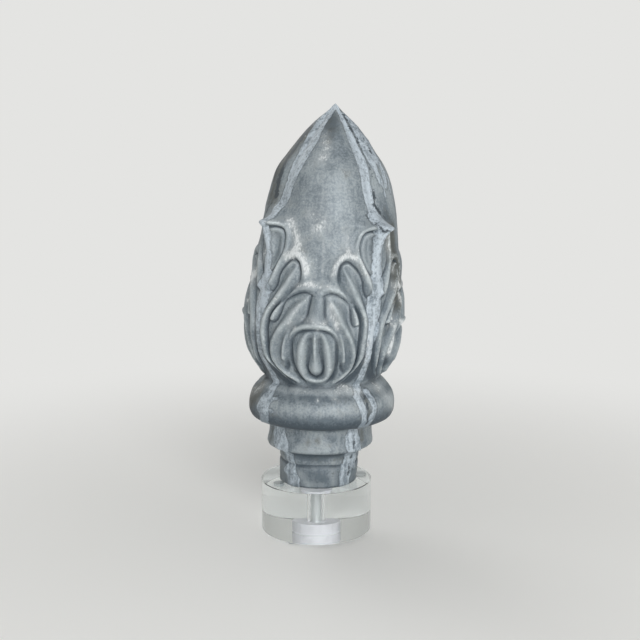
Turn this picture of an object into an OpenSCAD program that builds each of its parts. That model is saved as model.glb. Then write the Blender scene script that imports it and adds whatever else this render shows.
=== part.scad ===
// Zinc bud finial on a clear round stand.
// Millimetres, +Z up. The origin is on the table, under the middle of the widest part of the bud.
// The front of the finial looks along -Y.

/* [Bud] */
// Height of the bud, from the collar to its point
bud_h = 186; // [150:1:230]
// Radius of the plain bud at its widest, under the leaves
bud_r = 52.6; // [43:0.1:63.5]
// Radius of the bud where it grows out of the collar
bud_foot_r = 38.5; // [32:0.5:46.5]
// Height of the leaf tips above the collar
leaf_h = 108; // [90:1:130]
// How far the carved ridges stand up from the plain bud
relief = 3; // [1.5:0.1:4]
// How far a curled leaf tip stands out from the plain bud
tip_reach = 14; // [8:0.5:20]
// How far the four soldered corners lie inside the swelling faces near the point
corner_inset = 5.5; // [2:0.5:7]

/* [Collar and neck] */
// Height of the plain neck, up to the underside of the band
neck_h = 26.3; // [21:0.1:32]
// Radius of the neck at its foot
neck_r = 26.6; // [21.5:0.1:31.5]
// Height of the flat band above the neck
band_h = 14; // [11:0.5:17]
// Radius of the flat band
band_r = 36; // [33:0.5:43.5]
// Height of the collar, from the hollow above the band to the bud
collar_h = 28.5; // [23:0.5:35]
// Radius of the collar at its roll
collar_r = 50.5; // [48:0.5:61]

/* [Pose] */
// Angle by which the finial stands out of plumb, to the right
lean = 2.55; // [0:0.05:4]
// Angle by which the front face is turned to the left
face_turn = 7.5; // [-20:0.5:20]
// How far the widest part of the bud bows out to the left of the line from its foot to its point
bow = 1.5; // [0:0.1:3]
// How far the foot of the neck stands off the middle of the base
seat_offset = 1.4; // [0:0.1:3]

/* [Base] */
// Diameter of the clear disc
base_d = 76.2; // [64:0.1:95]
// Thickness of the clear disc
base_h = 35.5; // [28:0.1:45]
// Width of the polished chamfer on the edges of the disc
base_edge = 0.4; // [0.2:0.1:1]

/* [Bolt] */
// Diameter of the bolt's shank
bolt_d = 7.9; // [6:0.1:9.5]
// Play around the shank, on the diameter
bolt_play = 0.4; // [0.2:0.1:1]
// Length of shank inside the finial
bolt_reach = 10; // [6:0.5:16]
// Diameter of the bolt's round head
head_d = 14; // [11.5:0.1:17]
// Height of the bolt's round head
head_h = 4.5; // [3:0.1:6]
// Diameter of the counterbore in the underside
counterbore_d = 22; // [18.5:0.1:26.5]
// Depth of the counterbore
counterbore_h = 7.5; // [6.2:0.1:9]

/* [Feet] */
// Diameter of a clear foot where it sticks to the disc
foot_d = 8; // [6.5:0.1:9.6]
// Height of a foot
foot_h = 2.2; // [1.8:0.1:3]
// Gap from the rim of the disc to a foot
foot_margin = 3; // [1.5:0.1:5]
// Angle of the first foot, from the front towards the left
foot_angle = 31; // [0:1:89]

/* [Smoothness] */
// Columns of facets from the middle of a face of the bud to its corner
half_columns = 11; // [6:1:11]
// Rows of facets up to just under the leaf tips
leaf_rows = 27; // [14:1:27]

/* [Hidden] */
$fn = 96;
faces = 4;
half_face = 180 / faces;
zinc = "#8f9a9e";
acrylic = [0.85, 0.9, 0.92, 0.35];
steel = "#b9bcbd";
clear_rubber = [0.8, 0.82, 0.82, 0.5];

base_top = foot_h + base_h;
head_top = foot_h + counterbore_h;
foot_circle_r = base_d / 2 - foot_margin - foot_d / 2;
foot_taper = 0.9;

// Heights up the finial, from its seat on the base.
band_z = neck_h;
hollow_z = band_z + band_h;
bud_z = hollow_z + collar_h;

// ---- the plain bud: [part of bud_h, part of the swelling from bud_foot_r to bud_r], foot to widest,
// then [part of bud_h, part of bud_r], widest to point ----
widest = 0.23;
face_low = [[0, 0], [0.03, 0.12], [0.06, 0.32], [0.1, 0.67], [0.14, 0.885], [0.18, 0.98], [widest, 1]];
face_high = [[widest, 1], [0.33, 0.98], [0.43, 0.938], [0.52, 0.89], [0.625, 0.836], [0.7, 0.779],
             [0.765, 0.7], [0.835, 0.545], [0.905, 0.357], [0.975, 0.083], [1, 0]];

// ---- the carving on half a face: [degrees from the middle of the face, per cent of leaf_h] ----
// Ridges. The first three belong to the palmette low on each face, the rest to the corner leaves.
palmette_drop = [[0, 38], [0, 16]];
palmette_ring = [[0, 8], [6.5, 9], [10.5, 10.5], [12.5, 14.5], [13, 19], [12, 24.5], [11, 30], [9, 35], [6, 37.5]];
palmette_brow = [[0, 41.5], [8, 41.5], [14, 38.5]];
wrap_inner = [[9, 56.5], [12.5, 53.5], [16, 49.5], [19, 44.5], [23, 40], [26.5, 35.5], [30, 29.5],
              [31, 24.5], [31, 19.5], [29, 15.5], [26, 12.5], [22, 9.5]];
wrap_outer = [[34, 43.5], [37, 38], [38.5, 30.5], [38, 23.5], [36, 18], [32.5, 13], [27, 9.5]];
lobe_low_rim = [[4, 63], [9, 64.5], [15, 63], [21, 60], [26, 55.5]];
lobe_low_bead = [[27, 55], [28.5, 50.5], [30, 47]];
lobe_mid_rib = [[18.5, 74.5], [21.5, 69.5], [25.5, 63.5], [29, 59], [32.5, 54], [36.5, 47], [38, 41]];
lobe_mid_rim = [[12.5, 68], [12.5, 73.5], [14, 79], [19, 82.5], [25, 81.5], [31, 77], [36, 68.5], [40, 62]];
lobe_top_rim = [[41, 99], [37, 99], [33, 98], [30, 95.5], [28.5, 91], [28.5, 86], [30.5, 80.5], [34, 76]];
ridges = [palmette_drop, palmette_ring, palmette_brow, wrap_inner, wrap_outer, lobe_low_rim,
          lobe_low_bead, lobe_mid_rib, lobe_mid_rim, lobe_top_rim];
// Grooves inside the rims.
lobe_low_groove = [[6, 50], [5, 59.5], [8.5, 61], [12.5, 60.5], [20, 58], [24.5, 54], [26, 47.5]];
lobe_mid_groove = [[17, 64.5], [14.5, 70.5], [15, 75.5], [17.5, 79], [21.5, 79.5], [26, 77], [30, 74],
                   [33, 68], [36, 61]];
lobe_top_groove = [[39.5, 95.5], [35, 95], [32.5, 92], [32, 86.5], [34.5, 80]];
wrap_groove = [[11, 37.5], [16.5, 33.5], [18, 26.5], [18, 19.5], [17, 13.5], [12, 8.5]];
grooves = [lobe_low_groove, lobe_mid_groove, lobe_top_groove, wrap_groove];
// Widths of a ridge and a groove to either side of their middle, and a groove's depth as a share of relief.
ridge_w = 3;
groove_w = 2.6;
groove_share = 0.6;

// The midrib that runs up each corner and curls out into the leaf tip:
// [per cent of leaf_h, part of tip_reach, half its width in mm].
midrib = [[70, 0, 4], [82, 0.15, 4], [91, 0.42, 4.2], [97, 0.7, 5], [100, 1, 6], [102, 0.62, 6],
          [104, 0.32, 5.5], [108, 0.08, 5], [112, 0, 5]];

// The widest part of the bud stands over the origin.
base_x = bow - seat_offset - (bud_z + widest * bud_h) * sin(lean);
seat_x = base_x + seat_offset;

// Slope of a list of [x, y] points at point i, and a smooth curve through the points.
function slope(list, i) =
    let (a = max(0, i - 1), b = min(len(list) - 1, i + 1)) (list[b][1] - list[a][1]) / (list[b][0] - list[a][0]);
function curve(list, x, i = 0) =
    x <= list[0][0] ? list[0][1]
    : i >= len(list) - 1 ? list[len(list) - 1][1]
    : x > list[i + 1][0] ? curve(list, x, i + 1)
    : let (w = list[i + 1][0] - list[i][0], t = (x - list[i][0]) / w)
      list[i][1] * (1 + 2 * t) * pow(1 - t, 2) + slope(list, i) * w * t * pow(1 - t, 2)
      + list[i + 1][1] * t * t * (3 - 2 * t) - slope(list, i + 1) * w * t * t * (1 - t);

// Straight interpolation in a list of points, ascending in x, reading their item c.
function between(list, x, i = 0, c = 1) =
    x <= list[0][0] ? list[0][c]
    : i >= len(list) - 1 ? list[len(list) - 1][c]
    : x > list[i + 1][0] ? between(list, x, i + 1, c)
    : list[i][c] + (list[i + 1][c] - list[i][c]) * (x - list[i][0]) / (list[i + 1][0] - list[i][0]);

// Distance in mm from point p to the nearest part of a stroke.
function to_mm(p) = [p[0] * PI / 180 * bud_r, p[1] / 100 * leaf_h];
function to_segment(p, a, b) =
    let (ab = b - a, t = min(1, max(0, (p - a) * ab / (ab * ab)))) norm(p - a - t * ab);
function to_stroke(p, stroke) =
    min([for (i = [0:len(stroke) - 2]) to_segment(to_mm(p), to_mm(stroke[i]), to_mm(stroke[i + 1]))]);
function bell(distance, half_width) = exp(-pow(distance / half_width, 2));

function carving(a, percent) =
    let (p = [a, percent])
    relief * (max([for (s = ridges) bell(to_stroke(p, s), ridge_w)])
              - groove_share * max([for (s = grooves) bell(to_stroke(p, s), groove_w)]));

function corner_crest(a, percent) =
    tip_reach * between(midrib, percent)
    * exp(-(half_face - a) * PI / 180 * bud_r / between(midrib, percent, 0, 2));

function face_radius(part) =
    part <= widest ? bud_foot_r + (bud_r - bud_foot_r) * curve(face_low, part)
    : bud_r * curve(face_high, part);

function inset(a, part) =
    part < 0.6 ? 0 : corner_inset * sin(180 * (part - 0.6) / 0.4) * pow(a / half_face, 2);

// Radius of the bud at an angle from the middle of a face and a height above the collar.
function bud_radius(a, z) =
    let (part = z / bud_h, percent = 100 * z / leaf_h)
    face_radius(part) - inset(a, part)
    + (percent > 6 && percent < 100 ? carving(a, percent) : 0) + corner_crest(a, percent);

// The bow of the bud's middle line, most at its widest part and gone within a few times bow_reach of it.
bow_reach = 0.14;
function bow_at(z) = bow * bell(z / bud_h - widest, bow_reach);

// Heights of the rings of facets: even up to the leaf tips, closer over the tips, then up to the point.
tip_band = 14;
leaf_end = leaf_h - tip_band;
tip_rows = 12;
tip_end = leaf_h + 5;
point_rows = 12;
ring_z = concat([for (i = [0:leaf_rows]) leaf_end * i / leaf_rows],
                [for (i = [1:tip_rows]) leaf_end + (tip_end - leaf_end) * i / tip_rows],
                [for (i = [1:point_rows]) tip_end + (bud_h - tip_end) * sin(86 * i / point_rows)]);
columns = 2 * half_columns * faces;
sunk = 1;

// Radii on half a face, ring by ring. The other half mirrors it, and the four faces are alike.
half_grid = [for (z = ring_z) [for (k = [0:half_columns]) bud_radius(k * half_face / half_columns, z)]];
function fold(j) = let (m = j % (2 * half_columns)) m <= half_columns ? m : 2 * half_columns - m;
function spoke(j, r, z) = let (a = 360 * j / columns - 90 - face_turn) [r * cos(a) - bow_at(z), r * sin(a), z];

module bud() {
    rings = len(ring_z);
    points = concat(
        [for (j = [0:columns - 1]) spoke(j, bud_foot_r, -sunk)],
        [for (i = [0:rings - 1]) for (j = [0:columns - 1]) spoke(j, half_grid[i][fold(j)], ring_z[i])],
        [[0, 0, bud_h]]);
    sides = [for (i = [0:rings - 1]) for (j = [0:columns - 1])
        let (n = (j + 1) % columns, low = i * columns, up = low + columns)
        each j % (2 * half_columns) < half_columns
            ? [[low + j, up + j, low + n], [up + j, up + n, low + n]]
            : [[low + j, up + n, low + n], [low + j, up + j, up + n]]];
    top = [for (j = [0:columns - 1]) [rings * columns + j, len(points) - 1, rings * columns + (j + 1) % columns]];
    foot = [[for (j = [0:columns - 1]) j]];
    polyhedron(points = points, faces = concat(sides, top, foot));
}

// Neck, band and collar, turned in one outline. It starts a little below the base's top,
// where the finial is cut flat to stand out of plumb.
module turned_foot() {
    below = 5;
    throat_r = band_r * 0.76;
    groove = 0.4;
    groove_z = neck_h * 0.57;
    roll_z = hollow_z + collar_h * 0.27;
    arris_z = hollow_z + collar_h * 0.7;
    shoulder = bud_foot_r + 2;
    rotate_extrude() polygon([
        [0, -below], [neck_r - 0.2, -below], [neck_r, 0],
        [neck_r + 0.6, groove_z - 1], [neck_r + 0.6 - groove, groove_z], [neck_r + 0.9, groove_z + 1],
        [throat_r, neck_h - 5], [(throat_r + band_r) / 2, neck_h - 1.6], [band_r, band_z],
        [band_r + 0.4, band_z + 2], [band_r - 0.3, band_z + band_h / 2], [band_r - 0.2, hollow_z - 2],
        [band_r + 1, hollow_z + 2], [band_r + (collar_r - band_r) * 0.3, hollow_z + 5.5],
        [band_r + (collar_r - band_r) * 0.66, roll_z - 1.2], [collar_r - 1.6, roll_z + 1],
        [collar_r - 0.4, roll_z + 3], [collar_r, roll_z + 5.5], [collar_r - 0.3, arris_z - 1.5],
        [collar_r - 1, arris_z], [collar_r - 1.2, arris_z + 2], [collar_r - 2.3, arris_z + 4],
        [(collar_r + shoulder) / 2 + 1, bud_z - 2.6], [shoulder + 1.2, bud_z - 0.9],
        [shoulder, bud_z], [0, bud_z]]);
}

// The finial's own axis, out of plumb, standing on the base.
module in_place() {
    translate([seat_x, 0, base_top]) rotate([0, lean, 0]) children();
}

module finial() {
    reach = 2 * (bud_r + tip_reach);
    color(zinc) difference() {
        in_place() union() {
            turned_foot();
            translate([0, 0, bud_z]) bud();
        }
        translate([-reach / 2, -reach / 2, base_top - reach]) cube(reach);
        translate([base_x, 0, base_top - 1])
            cylinder(d = bolt_d + bolt_play, h = 1 + bolt_reach + bolt_play);
    }
}

module base() {
    color(acrylic) translate([base_x, 0, foot_h]) difference() {
        rotate_extrude() polygon([
            [0, 0], [base_d / 2 - base_edge, 0], [base_d / 2, base_edge],
            [base_d / 2, base_h - base_edge], [base_d / 2 - base_edge, base_h], [0, base_h]]);
        translate([0, 0, -1]) cylinder(d = bolt_d + bolt_play, h = base_h + 2);
        translate([0, 0, -1]) cylinder(d = counterbore_d, h = counterbore_h + 1);
    }
}

module bolt() {
    color(steel) translate([base_x, 0, head_top]) {
        cylinder(d = bolt_d, h = base_top - head_top + bolt_reach);
        translate([0, 0, -head_h]) cylinder(d = head_d, h = head_h);
    }
}

module foot(i) {
    a = -90 - foot_angle + (i - 1) * 90;
    color(clear_rubber)
        translate([base_x + foot_circle_r * cos(a), foot_circle_r * sin(a), 0]) rotate_extrude()
            polygon([[0, 0], [foot_d / 2 * foot_taper, 0], [foot_d / 2, foot_h], [0, foot_h]]);
}

finial();
base();
bolt();
foot(1);  // foot_1
foot(2);  // foot_2
foot(3);  // foot_3
foot(4);  // foot_4
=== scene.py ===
"""A zinc roof finial, a pressed and soldered leaf bud, on a clear round stand.

The stand's disc is the CAD part with its real finish; its bolt and feet, with their real finishes, are finer
meshes that stand for their CAD solids. The finial itself is a
finer mesh that stands for its CAD solid: the turned foot, the bud's pressed leaves and the solder.
"""

import logging
import math
from dataclasses import dataclass, field
from enum import Enum

import bpy
import numpy as np
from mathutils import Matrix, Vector, noise

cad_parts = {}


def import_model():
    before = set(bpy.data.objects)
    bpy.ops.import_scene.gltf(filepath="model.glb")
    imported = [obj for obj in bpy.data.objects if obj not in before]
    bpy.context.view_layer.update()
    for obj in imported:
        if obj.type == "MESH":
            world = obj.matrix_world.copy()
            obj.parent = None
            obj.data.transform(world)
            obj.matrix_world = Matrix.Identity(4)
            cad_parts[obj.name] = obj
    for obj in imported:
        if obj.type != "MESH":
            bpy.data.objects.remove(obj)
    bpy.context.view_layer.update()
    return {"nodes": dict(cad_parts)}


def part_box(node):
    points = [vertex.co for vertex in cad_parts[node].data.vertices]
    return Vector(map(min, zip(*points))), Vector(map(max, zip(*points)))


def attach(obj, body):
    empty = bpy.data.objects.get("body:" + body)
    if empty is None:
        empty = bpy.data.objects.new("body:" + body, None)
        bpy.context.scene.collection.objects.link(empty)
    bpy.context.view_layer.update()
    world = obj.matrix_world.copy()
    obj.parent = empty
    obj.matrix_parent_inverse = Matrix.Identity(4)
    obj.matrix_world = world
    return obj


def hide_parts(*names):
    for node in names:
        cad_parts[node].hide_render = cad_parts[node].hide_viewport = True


LOG = logging.getLogger("finial")
MM = 0.001
FACES = 4
HALF_FACE = 180 / FACES
FAR_OFF = 99.0  # mm, for a place that a mark doesn't reach
WAVE_TURN = 20  # radians that a wave node turns to the metre at a scale of 1


def srgb(text: str) -> tuple[float, float, float, float]:
    """Turns an sRGB hex colour into a linear one.

    Args:
        text: The colour as "#rrggbb".

    Returns:
        Red, green, blue and an alpha of 1.
    """
    parts = [int(text[i : i + 2], 16) / 255 for i in (1, 3, 5)]
    linear = [c / 12.92 if c <= 0.04045 else ((c + 0.055) / 1.055) ** 2.4 for c in parts]
    return (linear[0], linear[1], linear[2], 1.0)


def per_metre(size_mm: float) -> float:
    """Returns the texture scale, in features to a metre, at which a feature is about size_mm across."""
    return 1000 / size_mm


def add(tree: bpy.types.NodeTree, kind: str, inputs: dict | None = None,
        **settings: object) -> bpy.types.Node:
    """Adds a node, sets its properties, and sets or links its inputs.

    Args:
        tree: The node tree.
        kind: The node's type name, without the "ShaderNode" that it starts with.
        inputs: Socket name or number, to a value, to an output, or to a node whose first output is meant.
        settings: Properties of the node itself.

    Returns:
        The new node.
    """
    node = tree.nodes.new("ShaderNode" + kind)
    for name, value in settings.items():
        setattr(node, name, value)
    for key, value in (inputs or {}).items():
        if isinstance(value, bpy.types.Node):
            value = next(output for output in value.outputs if output.enabled)
        if isinstance(value, bpy.types.NodeSocket):
            tree.links.new(value, node.inputs[key])
        else:
            node.inputs[key].default_value = value
    return node


def blank_material(name: str) -> tuple[bpy.types.Material, bpy.types.NodeTree]:
    """Makes a material with an empty node tree.

    Args:
        name: The material's name.

    Returns:
        The material and its tree.
    """
    material = bpy.data.materials.new(name)
    material.use_nodes = True
    material.node_tree.nodes.clear()
    return material, material.node_tree


def put(name: str, data: bpy.types.ID) -> bpy.types.Object:
    """Puts a mesh, a lamp or a camera in the scene.

    Args:
        name: The new object's name.
        data: What it is.

    Returns:
        The object, not yet riding on anything.
    """
    obj = bpy.data.objects.new(name, data)
    bpy.context.scene.collection.objects.link(obj)
    return obj


def new_piece(name: str, points: list, faces: list[tuple[int, ...]]) -> bpy.types.Object:
    """Makes a mesh whose faces of three or four sides are shaded smooth, and its wider ones flat.

    Args:
        name: The piece's name.
        points: Its vertices, in metres.
        faces: Its faces, as numbers of vertices.

    Returns:
        The piece, in the scene.
    """
    mesh = bpy.data.meshes.new(name)
    mesh.from_pydata(points, [], faces)
    mesh.polygons.foreach_set("use_smooth", [len(face) <= 4 for face in faces])
    mesh.update()
    return put(name, mesh)


# ---------------------------------------------------------------- carving


class Cut(Enum):
    """Which way a line of the pressing goes."""

    RIDGE = "ridge"
    GROOVE = "groove"


@dataclass(frozen=True)
class Stroke:
    """One line of the pressed relief, on half a face. The other half mirrors it.

    Attributes:
        cut: Whether it stands up or is sunk.
        points: Degrees from the middle of the face, and mm above the stand, along the line.
        height: Height or depth in mm, once or at each point.
        width: Half width in mm, once or at each point.
        bias: How much wider the line is to the left of its own direction, from -1 to 1.
    """

    cut: Cut
    points: tuple[tuple[float, float], ...]
    height: float | tuple[float, ...]
    width: float | tuple[float, ...]
    bias: float = 0.0


def ridge(points: tuple, height: float | tuple, width: float | tuple, bias: float = 0.0) -> Stroke:
    """Returns a round-topped ridge along a line of points, by its height and half width in mm."""
    return Stroke(Cut.RIDGE, points, height, width, bias)


def groove(points: tuple, height: float | tuple, width: float | tuple, bias: float = 0.0) -> Stroke:
    """Returns a groove or a hollow along a line of points, by its depth and half width in mm."""
    return Stroke(Cut.GROOVE, points, height, width, bias)


# The palmette low on each face: a ring of two broad bands round a hanging drop.
PALMETTE = (
    ridge(((0, 109.5), (0, 104), (0, 98), (0, 92.5)), (1.6, 2.3, 2.6, 2.8), (1.5, 1.9, 2, 2.4)),
    ridge(((0, 91.5), (0, 88), (0, 85.6)), (2.6, 3.6, 3.9), (2.8, 5, 5.6)),
    ridge(
        ((4.2, 110.2), (6.9, 107), (9, 101.4), (10.1, 95.2), (10.7, 89.4), (10.6, 84.8), (9, 80.6),
         (5.8, 78.2), (0, 77.2)),
        (1.4, 2.6, 3.2, 3.5, 3.6, 3.6, 3.4, 3.2, 3.1),
        (2, 2.8, 3.4, 3.7, 3.8, 3.7, 3.2, 2.7, 2.5),
    ),
    ridge(((18.2, 110), (20.2, 106), (21.7, 101), (22.6, 96), (23, 92)), (1, 1.7, 2.1, 2.4, 2.7),
          (1.1, 1.5, 1.7, 2, 2.4)),
    groove(((0, 111.8), (4, 111.7), (8, 111), (12, 109.2), (15, 106.4)), (1.6, 1.7, 1.6, 1.3, 1), 1.3),
    groove(((14.2, 107.6), (16.2, 104.5), (17.2, 98), (17.8, 91), (17.2, 85), (14.4, 79.8), (10, 76.4)),
           (0.9, 1.5, 1.9, 2.4, 2.6, 2.2, 1.2), (1.6, 1.9, 2.1, 2.7, 3.1, 2.5, 1.8)),
    groove(((20, 91), (21.8, 87), (24, 84.2)), (1.2, 1.6, 1), (2.2, 2.6, 2.2)),
    groove(((3.4, 106), (4.3, 99), (5.2, 93), (6.3, 87), (4.4, 82.2), (0, 80.2)),
           (0.8, 1.2, 1.4, 1.6, 2, 2.2), (1.8, 2.2, 2, 1.4, 1.2, 1.1)),
)

# The smooth stem between the leaves, flaring over the palmette.
STEM = (
    ridge(((0.4, 138), (0.4, 131), (0.4, 125), (0.4, 120), (0.4, 116.5)), (0.4, 2, 2.7, 3, 3.1),
          (4.2, 5, 5.2, 6, 8)),
    ridge(((0, 115.4), (4, 115.2), (8, 114.4), (12, 112.4), (15.6, 109.4), (17.4, 106)),
          (4, 4, 3.5, 2.6, 1.7, 1), (3.6, 3.5, 3.1, 2.4, 1.9, 1.6), -0.35),
    groove(((4.6, 133.6), (5.4, 128), (5.9, 123), (7, 119.4), (9.2, 116.4)), (1.5, 1.8, 1.7, 1.3, 0.6),
           (1.2, 1.4, 1.4, 1.3, 1.1)),
)

# The lowest lobe of each leaf, whose inner edge wraps down round the palmette.
LOW_LOBE = (
    ridge(
        ((7.8, 132), (12, 127), (15.6, 122.1), (19, 117), (22.8, 112), (26.4, 107), (29.4, 100.6),
         (30.7, 95.2), (30.5, 90.2), (29, 85.6), (25.8, 82), (21.6, 78.8), (16, 76.2)),
        (0.8, 2, 2.8, 3.2, 3.4, 3.4, 3.4, 3.4, 3.4, 3.3, 3.1, 2.7, 1.8),
        (2, 3, 3.6, 3.8, 3.7, 3.5, 3.4, 3.4, 3.4, 3.2, 3, 2.6, 2.2),
    ),
    ridge(((26, 130.5), (27.9, 125), (29.5, 120.4), (30.8, 116.8)), (1.4, 2.2, 2.7, 2.8), (1.6, 2, 2.3, 2.4)),
    ridge(((1.6, 136), (4.6, 137.4), (9, 138), (14, 137.1), (19, 135), (23.4, 132.4), (26.4, 129.4)),
          (0.6, 1.3, 1.5, 1.5, 1.5, 1.5, 1.4), (2.8, 2.8, 2.7, 2.6, 2.5, 2.3, 1.8), 0.3),
    groove(
        ((3.8, 133.4), (8.5, 135), (12.5, 134.6), (16.3, 133.3), (20.2, 131.3), (23.8, 128.4), (25.1, 124.5),
         (25.9, 120.5), (27.6, 116.4), (30, 114.6), (32.2, 115)),
        (1.2, 1.6, 1.6, 1.6, 1.6, 1.6, 1.7, 1.8, 1.8, 1.6, 1), (1, 1, 1, 1, 1, 1.1, 1.2, 1.2, 1.2, 1.2, 1.1)),
    groove(((13, 130), (17.6, 127.6), (21.4, 122.8), (24, 117.5), (26.8, 112), (29.8, 107)),
           (0.3, 0.9, 1.1, 1.1, 0.9, 0.4), (1.8, 2.2, 2.4, 2.4, 2.2, 2)),
)

# The middle lobe, with its broad bright tongue, and the band that it becomes lower down.
MIDDLE_LOBE = (
    ridge(
        ((16.9, 152), (19.4, 147.6), (22.4, 142.6), (25.7, 137.2), (29, 132.2), (32.2, 127), (36, 119.8),
         (38, 112), (38.2, 102), (37.8, 94), (35.8, 88), (32.2, 83), (26.8, 78.9), (20.5, 75.8)),
        (0.7, 1.7, 2.6, 3, 3.2, 3.2, 3.1, 3, 3, 3, 2.9, 2.7, 2.3, 1.4),
        (1.6, 2.4, 3.1, 3.6, 3.7, 3.6, 3.4, 3.2, 3, 2.9, 2.8, 2.6, 2.4, 2),
    ),
    ridge(((11.6, 139.5), (11.2, 144), (11.9, 149.4), (14, 154.6), (18, 158), (23, 158.4), (27.6, 156.2),
           (31.4, 152.2)),
          (0.4, 1.1, 1.6, 1.8, 1.9, 1.9, 1.8, 1.5), (3.2, 3.2, 3.1, 3, 2.9, 2.8, 2.4, 2), 0.3),
    groove(
        ((17.2, 137.4), (14.8, 143), (14.4, 149), (16.4, 153.6), (21, 155.2), (26, 152.5), (30, 148.4),
         (32.4, 143.5), (33.8, 138), (36.4, 133.8), (40.5, 132.4)),
        (1, 1.5, 1.8, 1.9, 1.9, 1.9, 2, 2, 2, 1.9, 1.2),
        (1.2, 1.3, 1.2, 1.1, 1.1, 1.1, 1.2, 1.2, 1.3, 1.3, 1.2)),
    ridge(((16, 150.6), (17.6, 152.6), (20.6, 153.2), (24, 151.2), (27.4, 147.8)), (0.5, 1, 1.1, 1, 0.4), 1),
    groove(((27, 146), (30.2, 140), (32.6, 134), (35.6, 128), (38.6, 122.6)), (0.5, 0.9, 1, 1, 0.5),
           (2, 2.4, 2.4, 2.2, 2)),
    groove(((15.6, 141.6), (19, 137), (23.4, 132.4), (27.4, 127.6), (31.5, 122.6), (34.2, 117), (35.2, 110),
            (34.9, 100), (34.3, 92), (32.8, 86.6), (29.4, 82), (24.4, 78), (19, 75.6)),
           (0.8, 1.5, 1.9, 2.1, 2.4, 2.5, 2.3, 2.3, 2.3, 2.3, 2.1, 1.7, 0.8),
           (1.6, 1.9, 2, 2, 1.9, 1.7, 1.5, 1.5, 1.5, 1.5, 1.5, 1.5, 1.4)),
    groove(((39.6, 121), (41.9, 113), (42.4, 105), (41.6, 97), (39.4, 90.6), (35.8, 85.4), (31, 80.4),
            (25.6, 76.4)),
           (0.8, 1.6, 1.8, 1.9, 2, 2, 1.7, 0.8), (1.4, 1.4, 1.4, 1.4, 1.5, 1.6, 1.6, 1.5)),
)

# The hollow top lobe beside the curled leaf tip, and the bead that hangs below it.
TOP_LOBE = (
    ridge(((28.2, 167), (28.2, 162), (30, 156.6), (32.8, 151.2), (35.5, 145.4), (38, 140), (39.6, 136.4)),
          (1.5, 1.5, 1.9, 2.5, 3, 3.1, 3), (2.4, 2.4, 2.3, 2.4, 2.6, 2.7, 2.7)),
    ridge(((41, 178.6), (37, 177.7), (33, 175.6), (29.8, 172.2), (28.2, 167), (28.2, 161)),
          (1.6, 1.9, 2, 1.9, 1.6, 1), (2.6, 2.8, 3, 3, 2.8, 2.4), 0.3),
    groove(
        ((43, 174.4), (39.4, 174.9), (35.6, 174), (32.8, 171.6), (31.4, 167.6), (31.2, 162.6), (32.2, 157.6),
         (34.8, 152.6), (38.2, 148), (42, 143.6)),
        (2, 2.6, 2.4, 2.1, 1.9, 1.8, 1.8, 1.9, 1.9, 1.2), (1.7, 1.7, 1.5, 1.4, 1.3, 1.2, 1.2, 1.2, 1.2, 1.1)),
    groove(((39.4, 170), (38, 164), (38.2, 158), (40, 152.6)), (1.4, 1.4, 1.2, 0.6), (3.2, 3.8, 3.4, 2.6)),
)

STROKES = PALMETTE + STEM + LOW_LOBE + MIDDLE_LOBE + TOP_LOBE


@dataclass(frozen=True)
class Hoop:
    """A ring round the finial, on which the marks of the finish are worked out.

    Attributes:
        height: Its height in mm above the stand.
        degrees: Degrees from the middle of the front face, for each column.
        radius: The ring's radius at each column, in mm.
    """

    height: float
    degrees: np.ndarray
    radius: np.ndarray

    def along(self, directions: np.ndarray) -> np.ndarray:
        """Returns how many mm round the ring each column is from each direction, which is in degrees."""
        turned = (self.degrees[:, None] - directions + 180) % 360 - 180
        return turned * math.radians(1) * self.radius[:, None]


@dataclass(frozen=True)
class Mark:
    """A line on the finial's skin that the weather or the soldering left, or a line of painted shade or
    highlight.

    Attributes:
        points: Degrees from the middle of the front face, and mm above the stand, along the line.
        width: Half width in mm.
        strength: 1 for a full mark, more for a heavier one, and less than 0 where a mark of tone is darker.
        fade: How many times its half width the mark can be seen.
    """

    points: tuple[tuple[float, float], ...]
    width: float
    strength: float = 1.0
    fade: float = 4.0

    def away(self, hoop: Hoop) -> np.ndarray:
        """Works out how far each place on a ring is from the line.

        Args:
            hoop: The ring.

        Returns:
            Millimetres along the surface, or a large number where the line is far off.
        """
        heights = [z for _, z in self.points]
        reach = self.fade * self.width
        if not min(heights) - reach < hoop.height < max(heights) + reach:
            return np.full(len(hoop.degrees), FAR_OFF)
        line = smooth_line(np.array(self.points, float), steps=10)
        return np.hypot(hoop.along(line[:, 0]), hoop.height - line[:, 1]).min(1)

    def share(self, hoop: Hoop) -> np.ndarray:
        """Returns the mark's strength at each column of a ring, which fades away from the line."""
        return self.strength * np.exp(-((self.away(hoop) / self.width) ** 2))


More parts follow.
